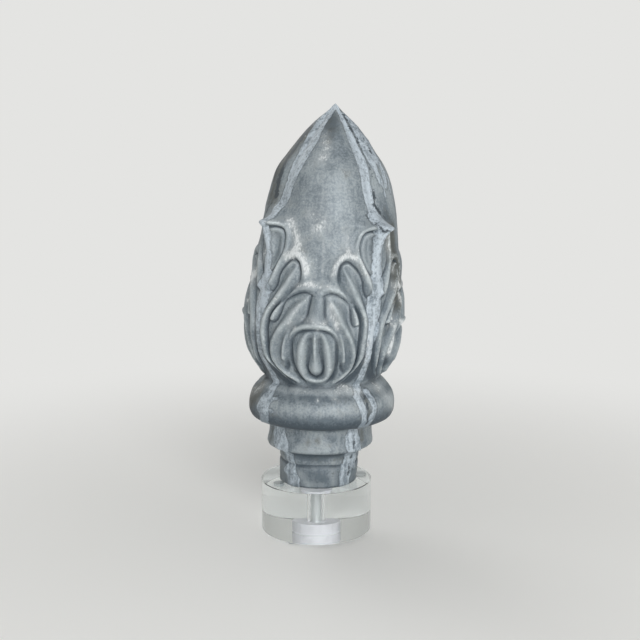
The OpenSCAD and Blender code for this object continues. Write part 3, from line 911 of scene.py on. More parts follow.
@dataclass
class FinialMesh:
    """The zinc finial: one closed mesh, in mm above the stand along its own leaning middle line.

    Attributes:
        lean: Angle of the middle line out of plumb, to the right, in degrees.
        rim_tilt: How far the rings tilt that way, in degrees, by height: the foot is crushed level.
        turn: Angle by which the front face is turned to the left, in degrees.
        seat_offset: How far the foot stands off the middle of the stand, in mm.
        bow: How far the widest part of the bud bows out to the left, in mm.
        bow_height: Where it bows out most, in mm above the stand.
        bow_reach: How far up and down the bow reaches, in mm.
        fullness: How flat a face stays before it rounds into its corners, as a power.
        blunt: Half width in mm over which a midrib and a leaf tip are rounded.
        dent: Depth in mm of the dents in the sheet.
        dent_sizes: Widths in mm of the broad dents and of the small ones, which are half as deep.
        bead: Height in mm of the solder on the bud.
        foot_bead: Height in mm of the solder on the foot, where more of it was used.
        lumps: Width in mm of the solder's small and broad lumps, and how uneven each makes it.
        bead_edge: How far in mm outside its edge the solder starts, and over what width it rises.
        foot_top: Where the foot ends and the bud starts, in mm above the stand.
        foot_rows: How many rings the foot has.
        crease: Height in mm of the crease round the neck.
        crease_wander: How far up and down the crease wanders, in mm.
        crease_reach: How far from the crease that can be seen, in mm.
        crease_turns: About a sixth of the number of bends that it has on the way round.
        lift: Hair's breadth in mm between the finial and the stand.
        leaf_from: Where the finely meshed zone of the leaves starts, in mm above the stand.
        leaf_to: Where it ends.
        leaf_rows: How many rings it has.
        plain_rows: How many rings the plain bud above it has.
        point_from: Where the coarser rings of the point start, in mm above the stand.
        point_rows: How many rings the point has, counting the last one below it and its tip.
        top: The finial's height in mm.
        hollows: How many cells round a place it is compared with, and how much that counts, for the
            narrow hollows and the broad ones.
        middle_wander: How the pressing wanders off its even layout up the middle of a face, in degrees.
        corner_wander: The same up a corner.
        carving: The relief of one face.
        weathering: The marks of the finish.
    """

    lean: float = 2.55
    rim_tilt: tuple[tuple[float, float], ...] = ((0, 0.3), (72, 0.3), (112, 2.55), (260, 2.55))
    turn: float = -7.3
    seat_offset: float = 1.4
    bow: float = 1.5
    bow_height: float = 111.6
    bow_reach: float = 26.0
    fullness: float = 2.2
    blunt: float = 3.0
    dent: float = 0.45
    dent_sizes: tuple[float, float] = (17.0, 6.0)
    bead: float = 0.25
    foot_bead: float = 0.75
    lumps: tuple[tuple[float, float], ...] = ((2.6, 1.4), (6.0, 0.5))
    bead_edge: tuple[float, float] = (0.5, 1.2)
    foot_top: float = 72.0
    foot_rows: int = 64
    crease: float = 15.0
    crease_wander: float = 1.1
    crease_reach: float = 4.0
    crease_turns: float = 1.7
    lift: float = 0.05
    leaf_from: float = 72.8
    leaf_to: float = 186.6
    leaf_rows: int = 144
    plain_rows: int = 20
    point_from: float = 226.0
    point_rows: int = 16
    top: float = 254.8
    hollows: tuple[tuple[int, float], tuple[int, float]] = ((3, 0.9), (6, 0.22))
    middle_wander: tuple[tuple[float, float], ...] = (
        (70, 0.6), (75, 1.3), (118, 1.3), (130, 1.4), (150, 0.6), (165, 0), (260, 0))
    corner_wander: tuple[tuple[float, float], ...] = (
        (60, 0), (75, -1.5), (90, -2.7), (100, -2), (110, -1.7), (125, 0), (140, 1.5), (152, 1), (165, 0.6),
        (172, 2), (177, 3.6), (180, 3.2), (185, 0.8), (190, 0), (260, 0))
    carving: Carving = field(default_factory=Carving)
    weathering: Weathering = field(default_factory=Weathering)

    def rows(self) -> list[tuple[float, float, Ring]]:
        """Lists the rings of the mesh from the foot to the point.

        Returns:
            Height in mm, radius of the turned foot or 0 on the bud, and the ring's columns.
        """
        foot = smooth_line(np.array(FOOT_OUTLINE, float), steps=8)
        travel = np.concatenate([[0], np.cumsum(np.hypot(*np.diff(foot, axis=0).T))])
        even = np.linspace(0, travel[-1], self.foot_rows)
        z_and_radius = zip(np.interp(even, travel, foot[:, 0]), np.interp(even, travel, foot[:, 1]))
        result = [(float(z), float(radius), Ring.PLAIN) for z, radius in z_and_radius]
        leaves = np.linspace(self.leaf_from, self.leaf_to, self.leaf_rows)
        plain = np.linspace(self.leaf_to + 2, self.point_from, self.plain_rows)
        steps = np.sin(np.linspace(0, math.pi / 2, self.point_rows)[1:-1])
        point = self.point_from + (self.top - self.point_from) * steps
        for heights, ring in ((leaves, Ring.FINE), (plain, Ring.PLAIN), (point, Ring.POINT)):
            result += [(float(z), 0.0, ring) for z in heights]
        return result

    def relief(self, heights: list[float]) -> tuple[np.ndarray, np.ndarray]:
        """Works out the pressed relief of the leaves all round the bud.

        Args:
            heights: The rings' heights in mm.

        Returns:
            The relief in mm, ring by ring, and how deep each place lies below what is round it.
        """
        degrees = np.linspace(0, HALF_FACE, Ring.FINE.value // FACES // 2 + 1)
        half = self.carving.height(degrees, np.array(heights))
        mirrored = np.concatenate([half[:, :0:-1], half[:, :-1]], axis=1)
        around = np.tile(mirrored, (1, FACES))
        (near, near_share), (wide, wide_share) = self.hollows
        hollow = near_share * (blur(around, near) - around)
        return around, hollow + wide_share * (blur(blur(around, wide), wide) - around)

    def face_degrees(self, ring: Ring) -> np.ndarray:
        """Returns degrees from the middle of its own face for each column of a ring."""
        per_face = ring.value // FACES
        return (np.arange(ring.value) % per_face) * 2 * HALF_FACE / per_face - HALF_FACE

    def azimuth(self, degrees: np.ndarray, faces: np.ndarray, height: float) -> np.ndarray:
        """Works out the direction of each column, from the front towards the right.

        Args:
            degrees: Degrees from the middle of the column's own face.
            faces: Degrees from the front to the middle of that face.
            height: The ring's height in mm.

        Returns:
            The directions in radians.
        """
        middle = np.interp(height, *np.array(self.middle_wander).T)
        corner = np.interp(height, *np.array(self.corner_wander).T)
        share = (1 - np.cos(np.radians(4 * degrees))) / 2
        return np.radians(self.turn + degrees + faces + middle + (corner - middle) * share)

    def place(self, radius: np.ndarray, azimuth: np.ndarray, height: np.ndarray, seat: Vector) -> np.ndarray:
        """Turns places on the finial's own axis into the row frame.

        Args:
            radius: Distances from the axis, in mm.
            azimuth: Directions in radians.
            height: Heights in mm.
            seat: Where the axis meets the top of the stand, in metres.

        Returns:
            One point for each, in metres.
        """
        bow = self.bow * np.exp(-(((height - self.bow_height) / self.bow_reach) ** 2))
        x = radius * np.sin(azimuth) - bow
        y = -radius * np.cos(azimuth)
        lean = math.radians(self.lean)
        tilt = np.radians(np.interp(height, *np.array(self.rim_tilt).T))
        return np.column_stack([
            seat.x + MM * (x * np.cos(tilt) + height * math.sin(lean)),
            seat.y + MM * y,
            seat.z + MM * (height * math.cos(lean) - x * np.sin(tilt)),
        ])

    def heights(self, azimuth: np.ndarray, height: float) -> np.ndarray:
        """Lets the crease round the neck wander up and down.

        Args:
            azimuth: Direction of each column in radians.
            height: The ring's height in mm.

        Returns:
            The height at each column in mm.
        """
        near = math.exp(-(((height - self.crease) / self.crease_reach) ** 2))
        turns = self.crease_turns
        spots = [Vector((turns * math.sin(t), turns * math.cos(t), 0)) for t in azimuth]
        return height + self.crease_wander * near * np.array([noise.noise(p) for p in spots])

    def dent_and_solder(self, hoop: Hoop, azimuth: np.ndarray, outside: np.ndarray) -> np.ndarray:
        """Adds the soft dents of hand-worked sheet, and the lumpy bead of solder, to a ring.

        Args:
            hoop: The ring.
            azimuth: Direction of each column in radians.
            outside: Millimetres outside the solder's edge at each column.

        Returns:
            The new radius at each column in mm.
        """
        spots = [Vector((r * math.sin(t), r * math.cos(t), hoop.height))
                 for t, r in zip(azimuth, hoop.radius)]
        broad, small = self.dent_sizes
        dents = [self.dent * (noise.noise(p / broad) + 0.5 * noise.noise(p / small)) for p in spots]
        (fine, uneven), (coarse, wavy) = self.lumps
        lumps = [1 + uneven * noise.noise(p / fine) + wavy * noise.noise(p / coarse) for p in spots]
        start, rise = self.bead_edge
        bead = self.foot_bead if hoop.height < self.foot_top else self.bead
        on = np.clip((start - outside) / rise, 0, 1)
        return hoop.radius + np.array(dents) + bead * np.array(lumps) * on

    def build(self, seat: Vector, name: str) -> bpy.types.Object:
        """Builds the mesh with its marks for the finish.

        Args:
            seat: Where the axis meets the top of the stand, in metres.
            name: The piece's name.

        Returns:
            The object, not yet riding on anything.
        """
        rows = self.rows()
        relief, hollow = self.relief([z for z, _, ring in rows if ring is Ring.FINE])
        leaf_rings = iter(zip(relief, hollow))
        points, marks, rings = [], [], []
        for z, turned, ring in rows:
            a = self.face_degrees(ring)
            faces = 2 * HALF_FACE * (np.arange(ring.value) // (ring.value // FACES))
            theta = self.azimuth(a, faces, z)
            bud = FACE_OUTLINE.at(z) - CORNER_INSET.at(z) * (np.abs(a) / HALF_FACE) ** self.fullness
            hoop = Hoop(z, a + faces, np.full(ring.value, turned) if turned else bud)
            skin = self.weathering.marks(hoop, a)
            radius = self.dent_and_solder(hoop, theta, skin["solder"])
            if ring is Ring.FINE:
                pressed, sunk = next(leaf_rings)
                to_corner = (HALF_FACE - np.abs(a)) * math.radians(1) * self.carving.girth
                to_corner = np.hypot(to_corner, self.blunt) - self.blunt
                tip = TIP_RISE.at(z) * np.exp(-to_corner / TIP_WIDTH.at(z))
                radius = radius + pressed + GROUND.at(z) + tip
                # the relief's hollows are painted dark in the finish: old dirt and painted shade
                skin["hollow"] = skin["hollow"] + sunk
            start = rings[-1].stop if rings else 0
            rings.append(range(start, start + ring.value))
            points.append(self.place(radius, theta, self.heights(theta, z), seat))
            marks.append(np.column_stack(list(skin.values())))
        floor = seat.z + self.lift * MM
        points[0][:, 2] = floor
        tip = self.place(np.array([0.0]), np.array([0.0]), np.array([self.top]), seat)
        points += [np.array([[seat.x, seat.y, floor]]), tip]
        foot = rings[-1].stop
        piece = new_piece(name, np.vstack(points).tolist(), join_rings(rings, foot, foot + 1))
        values = np.vstack([*marks, marks[0][:1], marks[-1][:1]])
        for i, label in enumerate(skin):
            layer = piece.data.attributes.new(label, "FLOAT", "POINT")
            layer.data.foreach_set("value", values[:, i].astype(np.float32))
        return piece


# ---------------------------------------------------------------- finishes


@dataclass(frozen=True)
class Grain:
    """One uneven pattern of a finish.

    Attributes:
        size: Width in mm of one feature.
        detail: How many finer layers lie in it.
        roughness: How strong these are.
        squeeze: Share of their height at which heights are read, so that features are drawn out downwards.
        slant: Angle in radians by which they then slant.
    """

    size: float
    detail: float
    roughness: float
    squeeze: float = 1.0
    slant: float = 0.0

    def build(self, tree: bpy.types.NodeTree) -> bpy.types.Node:
        """Adds the pattern to a material.

        Args:
            tree: The material's tree.

        Returns:
            The pattern.
        """
        place = add(tree, "TexCoord").outputs["Object"]
        if self.squeeze != 1:
            place = add(tree, "Mapping", {"Vector": place, "Rotation": (0.0, self.slant, 0.0),
                                          "Scale": (1, 1, self.squeeze)})
        return add(tree, "TexNoise", {"Vector": place, "Scale": per_metre(self.size), "Detail": self.detail,
                                      "Roughness": self.roughness})


@dataclass(frozen=True)
class Skin:
    """The patterns and marks that a weathered finish is laid on by.

    Attributes:
        tree: The material's tree.
        marks: The strength of each of the mesh's marks, by its name.
        clouds: The broadest pattern, which makes the wear uneven.
        mottle: The middle pattern, which breaks up the edges.
        specks: The finest pattern.
        streaks: The pattern drawn out by rain.
        scratches: A fine slanting pattern, in which the bloom has been rubbed off again.
        knocks: The pattern that the small white flecks follow.
    """

    tree: bpy.types.NodeTree
    marks: dict[str, bpy.types.NodeSocket]
    clouds: bpy.types.Node
    mottle: bpy.types.Node
    specks: bpy.types.Node
    streaks: bpy.types.Node
    scratches: bpy.types.Node
    knocks: bpy.types.Node

    def total(self, start: object, *weighted: tuple[object, float]) -> bpy.types.Node:
        """Adds patterns and marks up.

        Args:
            start: A number or a pattern to start from.
            weighted: Each pattern or mark, and how much it counts.

        Returns:
            The sum.
        """
        for pattern, weight in weighted:
            start = add(self.tree, "Math", {0: pattern, 1: weight, 2: start}, operation="MULTIPLY_ADD")
        return start

    def lay(self, under: bpy.types.Node, colour: object, amount: bpy.types.Node, start: float, full: float,
            most: float = 1.0, share: bpy.types.Node | None = None) -> tuple[bpy.types.Node, bpy.types.Node]:
        """Lays a colour over another one, softly from where an amount passes one value to another.

        Args:
            under: The colour so far.
            colour: The new colour.
            amount: The amount.
            start: Its value where the new colour starts to show.
            full: Its value where the new colour covers most.
            most: How much it covers there, from 0 to 1, or more where a pattern brings it down.
            share: A pattern that lets less of it through.

        Returns:
            The colour, and how much the new one covers before the pattern takes its part.
        """
        on = add(self.tree, "MapRange", {"Value": amount, "From Min": start, "From Max": full,
                                         "To Max": most}, interpolation_type="SMOOTHSTEP")
        cover = on if share is None else add(self.tree, "Math", {0: on, 1: share}, operation="MULTIPLY")
        return add(self.tree, "Mix", {0: cover, 6: under, 7: colour}, data_type="RGBA"), on


@dataclass(frozen=True)
class WeatheredZinc:
    """Sheet zinc, pressed in quarters and soft-soldered at the corners, weathered on a roof.

    Zinc carbonate gives it a dull blue-grey skin: paler and rubbed on the ridges, with painted highlights
    there, dark with old dirt and painted shade in the hollows, chalky white where it has bloomed, and silvery
    where solder covers the seams.

    Attributes:
        dull: The skin where it is darkest.
        pale: The skin where it is palest.
        film_and_shade: The brownish film of soot, also laid as painted shade on the flanks and low on the
            collar's left.
        dirt_and_shade: Old dirt in the hollows, and painted shade there.
        rubbed_and_highlit: The skin on the ridges, rubbed pale, and painted highlights there.
        solder_dark: Solder where it has tarnished.
        solder_pale: Solder where it is brightest.
        seam_dirt_and_shadow: The dirt along the solder's edge, and a painted shadow line there.
        crack: The dark lines where that edge has lifted.
        bloom: The chalky bloom.
        metallic: How much of the bare metal's shine comes through the skin.
        roughness: How matt the skin is at its smoothest.
        uneven: How much more matt it gets with the mottle.
        bloom_roughness: How matt the bloom is.
        grain_height: Height in mm of the skin's grain.
        dent_height: Height in mm of its small dents.
        lump_height: Height in mm of the lumps in the solder.
        clouds: Broad fields of the skin, as wide as a thumb.
        mottle: The spangle of the sheet.
        specks: The grain of the skin. It is really about 0.3 mm, and is drawn as coarse as it needs to show.
        streaks: What rain has washed down.
        scratches: Rubbing across the bloom, also drawn coarser than it is.
        knocks: Where the skin has been knocked off.
    """

    dull: str = "#65717a"
    pale: str = "#a7b0b5"
    film_and_shade: str = "#55564f"
    dirt_and_shade: str = "#3b4751"
    rubbed_and_highlit: str = "#c0c9cc"
    solder_dark: str = "#8e9aa4"
    solder_pale: str = "#c8d3dc"
    seam_dirt_and_shadow: str = "#4c545a"
    crack: str = "#414a51"
    bloom: str = "#e2e6e7"
    metallic: float = 0.15
    roughness: float = 0.35
    uneven: float = 0.35
    bloom_roughness: float = 0.9
    grain_height: float = 0.16
    dent_height: float = 0.4
    lump_height: float = 0.9
    clouds: Grain = Grain(17.0, 5.0, 0.62)
    mottle: Grain = Grain(4.2, 5.0, 0.66)
    specks: Grain = Grain(1.4, 4.0, 0.62)
    streaks: Grain = Grain(2.6, 4.0, 0.6, squeeze=0.1)
    scratches: Grain = Grain(1.0, 3.0, 0.6, squeeze=0.4, slant=0.5)
    knocks: Grain = Grain(1.7, 3.0, 0.5)

    def build(self) -> bpy.types.Material:
        """Makes the material.

        Returns:
            The material.
        """
        material, tree = blank_material("weathered_zinc")
        marks = {name: add(tree, "Attribute", attribute_name=name).outputs["Fac"]
                 for name in ("hollow", "solder", "bloom", "grime_and_shade", "crack", "tone_and_light")}
        skin = Skin(tree, marks, **{name: getattr(self, name).build(tree) for name in (
            "clouds", "mottle", "specks", "streaks", "scratches", "knocks")})
        colour = self.plain(skin)
        colour, depth = self.relief_wear_and_shading(skin, colour)
        colour, soldered = self.soldering(skin, colour)
        colour, bloomed = self.blooming(skin, colour)
        colour = self.flecks(skin, colour, depth)
        rough = skin.total(self.roughness, (skin.mottle, self.uneven))
        rougher = add(tree, "Mix", {0: bloomed, 2: rough, 3: self.bloom_roughness})
        metal = add(tree, "Mix", {0: bloomed, 2: self.metallic, 3: 0.0})
        lumps = add(tree, "Math", {0: soldered, 1: skin.mottle}, operation="MULTIPLY")
        grain = add(tree, "Bump", {"Height": skin.specks, "Strength": 0.8,
                                   "Distance": self.grain_height * MM})
        dents = add(tree, "Bump", {"Height": skin.mottle, "Strength": 0.7, "Distance": self.dent_height * MM,
                                   "Normal": grain})
        beads = add(tree, "Bump", {"Height": lumps, "Strength": 0.8, "Distance": self.lump_height * MM,
                                   "Normal": dents})
        shader = add(tree, "BsdfPrincipled", {"Base Color": colour, "Metallic": metal, "Roughness": rougher,
                                              "Normal": beads})
        add(tree, "OutputMaterial", {"Surface": shader})
        return material

    def plain(self, skin: Skin) -> bpy.types.Node:
        """Mixes the dull and pale greys of the plain metal, with a brownish film in places; the tone mark and
        the film also lay painted shade and painted highlights.

        Args:
            skin: The patterns and marks.

        Returns:
            The colour.
        """
        mixed = skin.total(skin.clouds, (skin.mottle, 0.8), (skin.streaks, 0.45), (skin.specks, 1.3),
                           (skin.marks["tone_and_light"], 0.24))
        shade = add(skin.tree, "MapRange", {"Value": mixed, "From Min": 1.48, "From Max": 2.1})
        grey = add(skin.tree, "Mix", {0: shade, 6: srgb(self.dull), 7: srgb(self.pale)}, data_type="RGBA")
        lain = skin.total(skin.clouds, (skin.marks["grime_and_shade"], 0.4), (skin.mottle, 0.6))
        return skin.lay(grey, srgb(self.film_and_shade), lain, start=0.82, full=1.28, most=0.8)[0]

    def relief_wear_and_shading(self, skin: Skin, colour: bpy.types.Node) -> tuple[bpy.types.Node, bpy.types.Node]:
        """Darkens the hollows of the relief with old dirt and painted shade, and rubs its ridges pale with
        wear and painted highlights, here more and there less.

        Args:
            skin: The patterns and marks.
            colour: The colour so far.

        Returns:
            The colour, and how deep each place lies, in about mm.
        """
        depth = skin.total(-1.4, (skin.specks, 2.8), (skin.mottle, 1.6), (skin.marks["hollow"], 1.0))
        # painted shade in the hollows, with old dirt
        dirtied_and_shaded, _ = skin.lay(colour, srgb(self.dirt_and_shade), depth, start=0.95, full=2.3, most=0.85)
        # painted highlights on the ridges, with wear
        rubbed_and_highlit, _ = skin.lay(dirtied_and_shaded, srgb(self.rubbed_and_highlit), depth, start=0.65, full=-0.8, most=1.75,
                             share=skin.clouds)
        return rubbed_and_highlit, depth

    def soldering(self, skin: Skin, colour: bpy.types.Node) -> tuple[bpy.types.Node, bpy.types.Node]:
        """Lays solder along the corners, with a dark ragged edge, and draws the dark lines beside it.

        Args:
            skin: The patterns and marks.
            colour: The colour so far.

        Returns:
            The colour, and 1 on the solder.
        """
        tree = skin.tree
        edge = skin.total(-2.4, (skin.specks, 1.6), (skin.mottle, 3.2), (skin.marks["solder"], 1.0))
        # painted shadow line along the solder's edge, with dirt
        edged, _ = skin.lay(colour, srgb(self.seam_dirt_and_shadow), edge, start=1.3, full=0.1, share=skin.mottle)
        smeared = skin.total(skin.streaks, (skin.mottle, 1.0), (skin.specks, 1.1))
        # the tone mark also paints highlights along the solder strips
        toned = skin.total(smeared, (skin.marks["tone_and_light"], 0.15))
        shade = add(tree, "MapRange", {"Value": toned, "From Min": 1.33, "From Max": 1.76})
        metal = add(tree, "Mix", {0: shade, 6: srgb(self.solder_dark), 7: srgb(self.solder_pale)},
                    data_type="RGBA")
        kept = add(tree, "MapRange", {"Value": smeared, "From Min": 1.28, "From Max": 1.58, "To Min": 0.65,
                                      "To Max": 0.95})
        soldered, on = skin.lay(edged, metal, edge, start=0.25, full=-0.35, share=kept)
        broken = skin.total(skin.marks["crack"], (skin.mottle, 8.0))
        return skin.lay(soldered, srgb(self.crack), broken, start=4.1, full=3.3, most=0.9)[0], on

    def blooming(self, skin: Skin, colour: bpy.types.Node) -> tuple[bpy.types.Node, bpy.types.Node]:
        """Adds the chalky white bloom: a thin haze, with crusts of it on top.

        Args:
            skin: The patterns and marks.
            colour: The colour so far.

        Returns:
            The colour, and 1 where the bloom lies thickest.
        """
        amount = skin.marks["bloom"]
        clouded = add(skin.tree, "Math", {0: amount, 1: skin.clouds}, operation="MULTIPLY")
        haze = skin.total(0.0, (clouded, 0.6))
        hazed = add(skin.tree, "Mix", {0: haze, 6: colour, 7: srgb(self.bloom)}, data_type="RGBA")
        thick = skin.total(skin.mottle, (skin.scratches, 1.7), (skin.clouds, 1.0), (amount, 0.7))
        return skin.lay(hazed, srgb(self.bloom), thick, start=2.22, full=2.72, most=0.85)

    def flecks(self, skin: Skin, colour: bpy.types.Node, depth: bpy.types.Node) -> bpy.types.Node:
        """Sprinkles small white flecks over the ridges, where the skin has been knocked off.

        Args:
            skin: The patterns and marks.
            colour: The colour so far.
            depth: How deep each place lies, in about mm.

        Returns:
            The colour.
        """
        chance = skin.total(skin.knocks, (skin.clouds, 0.5), (depth, -0.06))
        return skin.lay(colour, srgb(self.bloom), chance, start=0.92, full=1.02, most=0.7)[0]


@dataclass(frozen=True)
class CastAcrylic:
    """Cast acrylic rod, parted and polished: water-clear, with the drilled holes left frosted.

    The polished faces bend what is behind them like a lens. The counterbore and the bolt hole keep
    fine turning marks, and read as a white frosted core.

    Attributes:
        tint: The clear faces.
        frost: The frosted ones.
        ior: How much it bends light.
        frosting: How rough the frosted faces are.
        whiteness: How much of the light they stop.
        bore_share: How frosted the bolt hole is, as a share of the counterbore.
        turning: Width in mm of a radian of the turning marks' wave: 5.7 mm apart, coarser than they are
            so that they show.
        mark_height: Height of the turning marks in mm.
        margin: How far in metres from a hole's wall the frost still counts.
    """

    tint: str = "#f7fbfb"
    frost: str = "#e6e7ec"
    ior: float = 1.49
    frosting: float = 0.5
    whiteness: float = 0.85
    bore_share: float = 0.25
    turning: float = 0.9
    mark_height: float = 0.15
    margin: float = 0.1 * MM

    def build(self, axis: Vector, bore: float, recess: float, recess_top: float) -> bpy.types.Material:
        """Makes the material.

        Args:
            axis: A point on the middle line of the disc, in metres.
            bore: Radius of the bolt hole, in metres.
            recess: Radius of the counterbore, in metres.
            recess_top: Height of the counterbore's ceiling, in metres.

        Returns:
            The material.
        """
        material, tree = blank_material("cast_acrylic")
        place = add(tree, "TexCoord").outputs["Object"]
        centred = add(tree, "VectorMath", {0: place, 1: (axis.x, axis.y, 0.0)}, operation="SUBTRACT")
        parts = add(tree, "SeparateXYZ", {0: centred})
        flat = add(tree, "CombineXYZ", {0: parts.outputs["X"], 1: parts.outputs["Y"]})
        radius = add(tree, "VectorMath", {0: flat}, operation="LENGTH")
        in_bore, in_recess, below = (
            add(tree, "Math", {0: value, 1: limit + self.margin}, operation="LESS_THAN")
            for value, limit in ((radius, bore), (radius, recess), (parts.outputs["Z"], recess_top)))
        drilled = add(tree, "Math", {0: in_recess, 1: below}, operation="MULTIPLY")
        bored = add(tree, "Math", {0: in_bore, 1: self.bore_share}, operation="MULTIPLY")
        frosted = add(tree, "Math", {0: drilled, 1: bored}, operation="MAXIMUM")
        rough = add(tree, "Math", {0: frosted, 1: self.frosting}, operation="MULTIPLY")
        clear = add(tree, "MapRange", {"Value": frosted, "To Min": 1.0, "To Max": 1 - self.whiteness})
        colour = add(tree, "Mix", {0: frosted, 6: srgb(self.tint), 7: srgb(self.frost)}, data_type="RGBA")
        rings = add(tree, "TexWave", {"Vector": place, "Scale": per_metre(self.turning) / WAVE_TURN,
                                      "Distortion": 0.6, "Detail": 2.0},
                    wave_type="BANDS", bands_direction="Z", wave_profile="SIN")
        marked = add(tree, "Math", {0: rings.outputs["Fac"], 1: frosted}, operation="MULTIPLY")
        bump = add(tree, "Bump", {"Height": marked, "Strength": 0.6, "Distance": self.mark_height * MM})
        shader = add(tree, "BsdfPrincipled", {"Base Color": colour, "IOR": self.ior, "Roughness": rough,
                                              "Transmission Weight": clear, "Normal": bump})
        # Light falls through the clear faces, so that the stand doesn't throw the shadow of a solid block.
        shadow = add(tree, "LightPath").outputs["Is Shadow Ray"]
        through = add(tree, "Math", {0: shadow, 1: clear}, operation="MULTIPLY")
        surface = add(tree, "MixShader", {0: through, 1: shader, 2: add(tree, "BsdfTransparent")})
        add(tree, "OutputMaterial", {"Surface": surface})
        return material


@dataclass(frozen=True)
class PlatedSteel:
    """A zinc-plated steel bolt, rolled and bright-plated: silvery, with faint turning lines.

    Attributes:
        colour: The plating.
        roughness: How matt it is.
        turning: Width in mm of the lines, coarser than they are so that they show.
        line_height: Their height in mm.
    """

    colour: str = "#dfe1e1"
    roughness: float = 0.42
    turning: float = 0.8
    line_height: float = 0.1

    def build(self) -> bpy.types.Material:
        """Makes the material.

        Returns:
            The material.
        """
        material, tree = blank_material("plated_steel")
        place = add(tree, "TexCoord").outputs["Object"]
        lines = add(tree, "TexNoise", {"Vector": place, "Scale": per_metre(self.turning)})
        bump = add(tree, "Bump", {"Height": lines, "Strength": 0.3, "Distance": self.line_height * MM})
        shader = add(tree, "BsdfPrincipled", {"Base Color": srgb(self.colour), "Metallic": 1.0,
                                              "Roughness": self.roughness, "Normal": bump})
        add(tree, "OutputMaterial", {"Surface": shader})
        return material


@dataclass(frozen=True)
class ClearRubber:
    """A moulded polyurethane bumper, clear and slightly hazy, gone a little dull with dust.

    Attributes:
        tint: Its colour.
        ior: How much it bends light.
        roughness: How hazy it is.
        clearness: How much light it lets through.
    """

    tint: str = "#c6cdcf"
    ior: float = 1.5
    roughness: float = 0.25
    clearness: float = 0.4

    def build(self) -> bpy.types.Material:
        """Makes the material.

        Returns:
            The material.
        """
        material, tree = blank_material("clear_polyurethane")
        shader = add(tree, "BsdfPrincipled", {
            "Base Color": srgb(self.tint), "IOR": self.ior, "Roughness": self.roughness,
            "Transmission Weight": self.clearness})
        add(tree, "OutputMaterial", {"Surface": shader})
        return material


# ---------------------------------------------------------------- sub-assemblies


@dataclass
class Finial:
    """The zinc finial that stands on the disc.

    Attributes:
        mesh: Its shape.
        finish: What it is made of.
    """

    mesh: FinialMesh = field(default_factory=FinialMesh)
    finish: WeatheredZinc = WeatheredZinc()

    def build(self) -> bpy.types.Object:
        """Builds, dresses and seats the finial.

        Returns:
            The finished piece.
        """
        low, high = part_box("base")
        seat = Vector(((low.x + high.x) / 2 + self.mesh.seat_offset * MM, 0, high.z))
        piece = self.mesh.build(seat, "zinc_finial")
        piece.data.materials.append(self.finish.build())
        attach(piece, "root")
        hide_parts("finial")
        return piece


def revolve(name: str, middle: Vector, outline: list[tuple[float, float]], columns: int) -> bpy.types.Object:
    """Turns an outline round an upright line into a closed piece.

    Args:
        name: The piece's name.
        middle: A point on the line, in metres.
        outline: Radius and height in metres, from the top down.
        columns: Sides of the round.

    Returns:
        The piece, in the scene.
    """
    around = np.linspace(0, 2 * math.pi, columns, endpoint=False)
    co = [(middle.x + r * math.cos(t), middle.y + r * math.sin(t), z) for r, z in outline for t in around]
    faces = [tuple(range(columns)), tuple(range(len(co) - 1, len(co) - columns - 1, -1))]
    for start in range(0, len(co) - columns, columns):
        for j in range(columns):
            k = (j + 1) % columns
            faces.append((start + k, start + j, start + columns + j, start + columns + k))
    return new_piece(name, co, faces)


@dataclass
class Bolt:
    """The round-headed bolt that holds the finial down, its head a hair's breadth below its seat.

    Attributes:
        finish: What it is made of.
        play: Gap in mm to what it touches.
        head_height: Height of the head in mm.
        shank: Diameter of the shank in mm.
        edge: Radius of the head's rounded edge in mm.
        chamfer: Width of the chamfer on the head's upper edge in mm.
        pitch: Spacing of the thread's turns in mm.
        thread: Depth of the thread in mm.
        edge_points: How many points round off the head's edge.
        columns: Sides of the round.
    """

    finish: PlatedSteel = PlatedSteel()
    play: float = 0.06
    head_height: float = 4.5
    shank: float = 7.9
    edge: float = 1.0
    chamfer: float = 0.3
    pitch: float = 1.25
    thread: float = 0.6
    edge_points: int = 6
    columns: int = 64

    def build(self) -> bpy.types.Object:
        """Builds the bolt where its CAD solid stands.

        Returns:
            The finished piece.
        """
        low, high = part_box("bolt")
        head = (high.x - low.x) / 2
        shank = self.shank / 2 * MM
        chamfer = self.chamfer * MM
        top, under = high.z - self.play * MM, low.z + (self.head_height - self.play) * MM
        outline = [(shank - self.pitch / 2 * MM, top)]
        turns = int((top - under) / (self.pitch * MM))
        for turn in range(turns):
            crest = top - (turn + 0.5) * self.pitch * MM
            outline += [(shank, crest), (shank - self.thread * MM, crest - self.pitch / 2 * MM)]
        outline += [(shank, under), (head - chamfer, under), (head, under - chamfer)]
        outline += [(head - self.edge * MM * (1 - math.cos(t)), low.z + self.edge * MM * (1 - math.sin(t)))
                    for t in np.linspace(0, math.pi / 2, self.edge_points)]
        piece = revolve("steel_bolt", (low + high) / 2, outline, self.columns)
        piece.data.materials.append(self.finish.build())
        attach(piece, "root")
        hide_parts("bolt")
        return piece


@dataclass
class Bumper:
    """One stick-on foot: a flat-topped button with a rounded rim, a hair's breadth below the disc.

    Attributes:
        finish: What it is made of.
        lift: Gap in mm to the disc, where the glue would be.
        outline: Share of the foot's radius and share of its height, from the top edge to the ground.
        columns: Sides of the round.
    """

    finish: ClearRubber = ClearRubber()
    lift: float = 0.06
    outline: tuple[tuple[float, float], ...] = (
        (1, 1), (1, 0.82), (0.98, 0.55), (0.93, 0.3), (0.84, 0.12), (0.72, 0.02), (0.66, 0))
    columns: int = 40

    def build(self, node: str) -> bpy.types.Object:
        """Builds the foot where its CAD solid stands.

        Args:
            node: The CAD solid's name.

        Returns:
            The finished piece.
        """
        low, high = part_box(node)
        radius = (high.x - low.x) / 2
        tall = high.z - low.z - self.lift * MM
        outline = [(radius * r, low.z + tall * h) for r, h in self.outline]
        piece = revolve(f"clear_{node}", (low + high) / 2, outline, self.columns)
        piece.data.materials.append(self.finish.build())
        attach(piece, "root")
        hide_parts(node)
        return piece


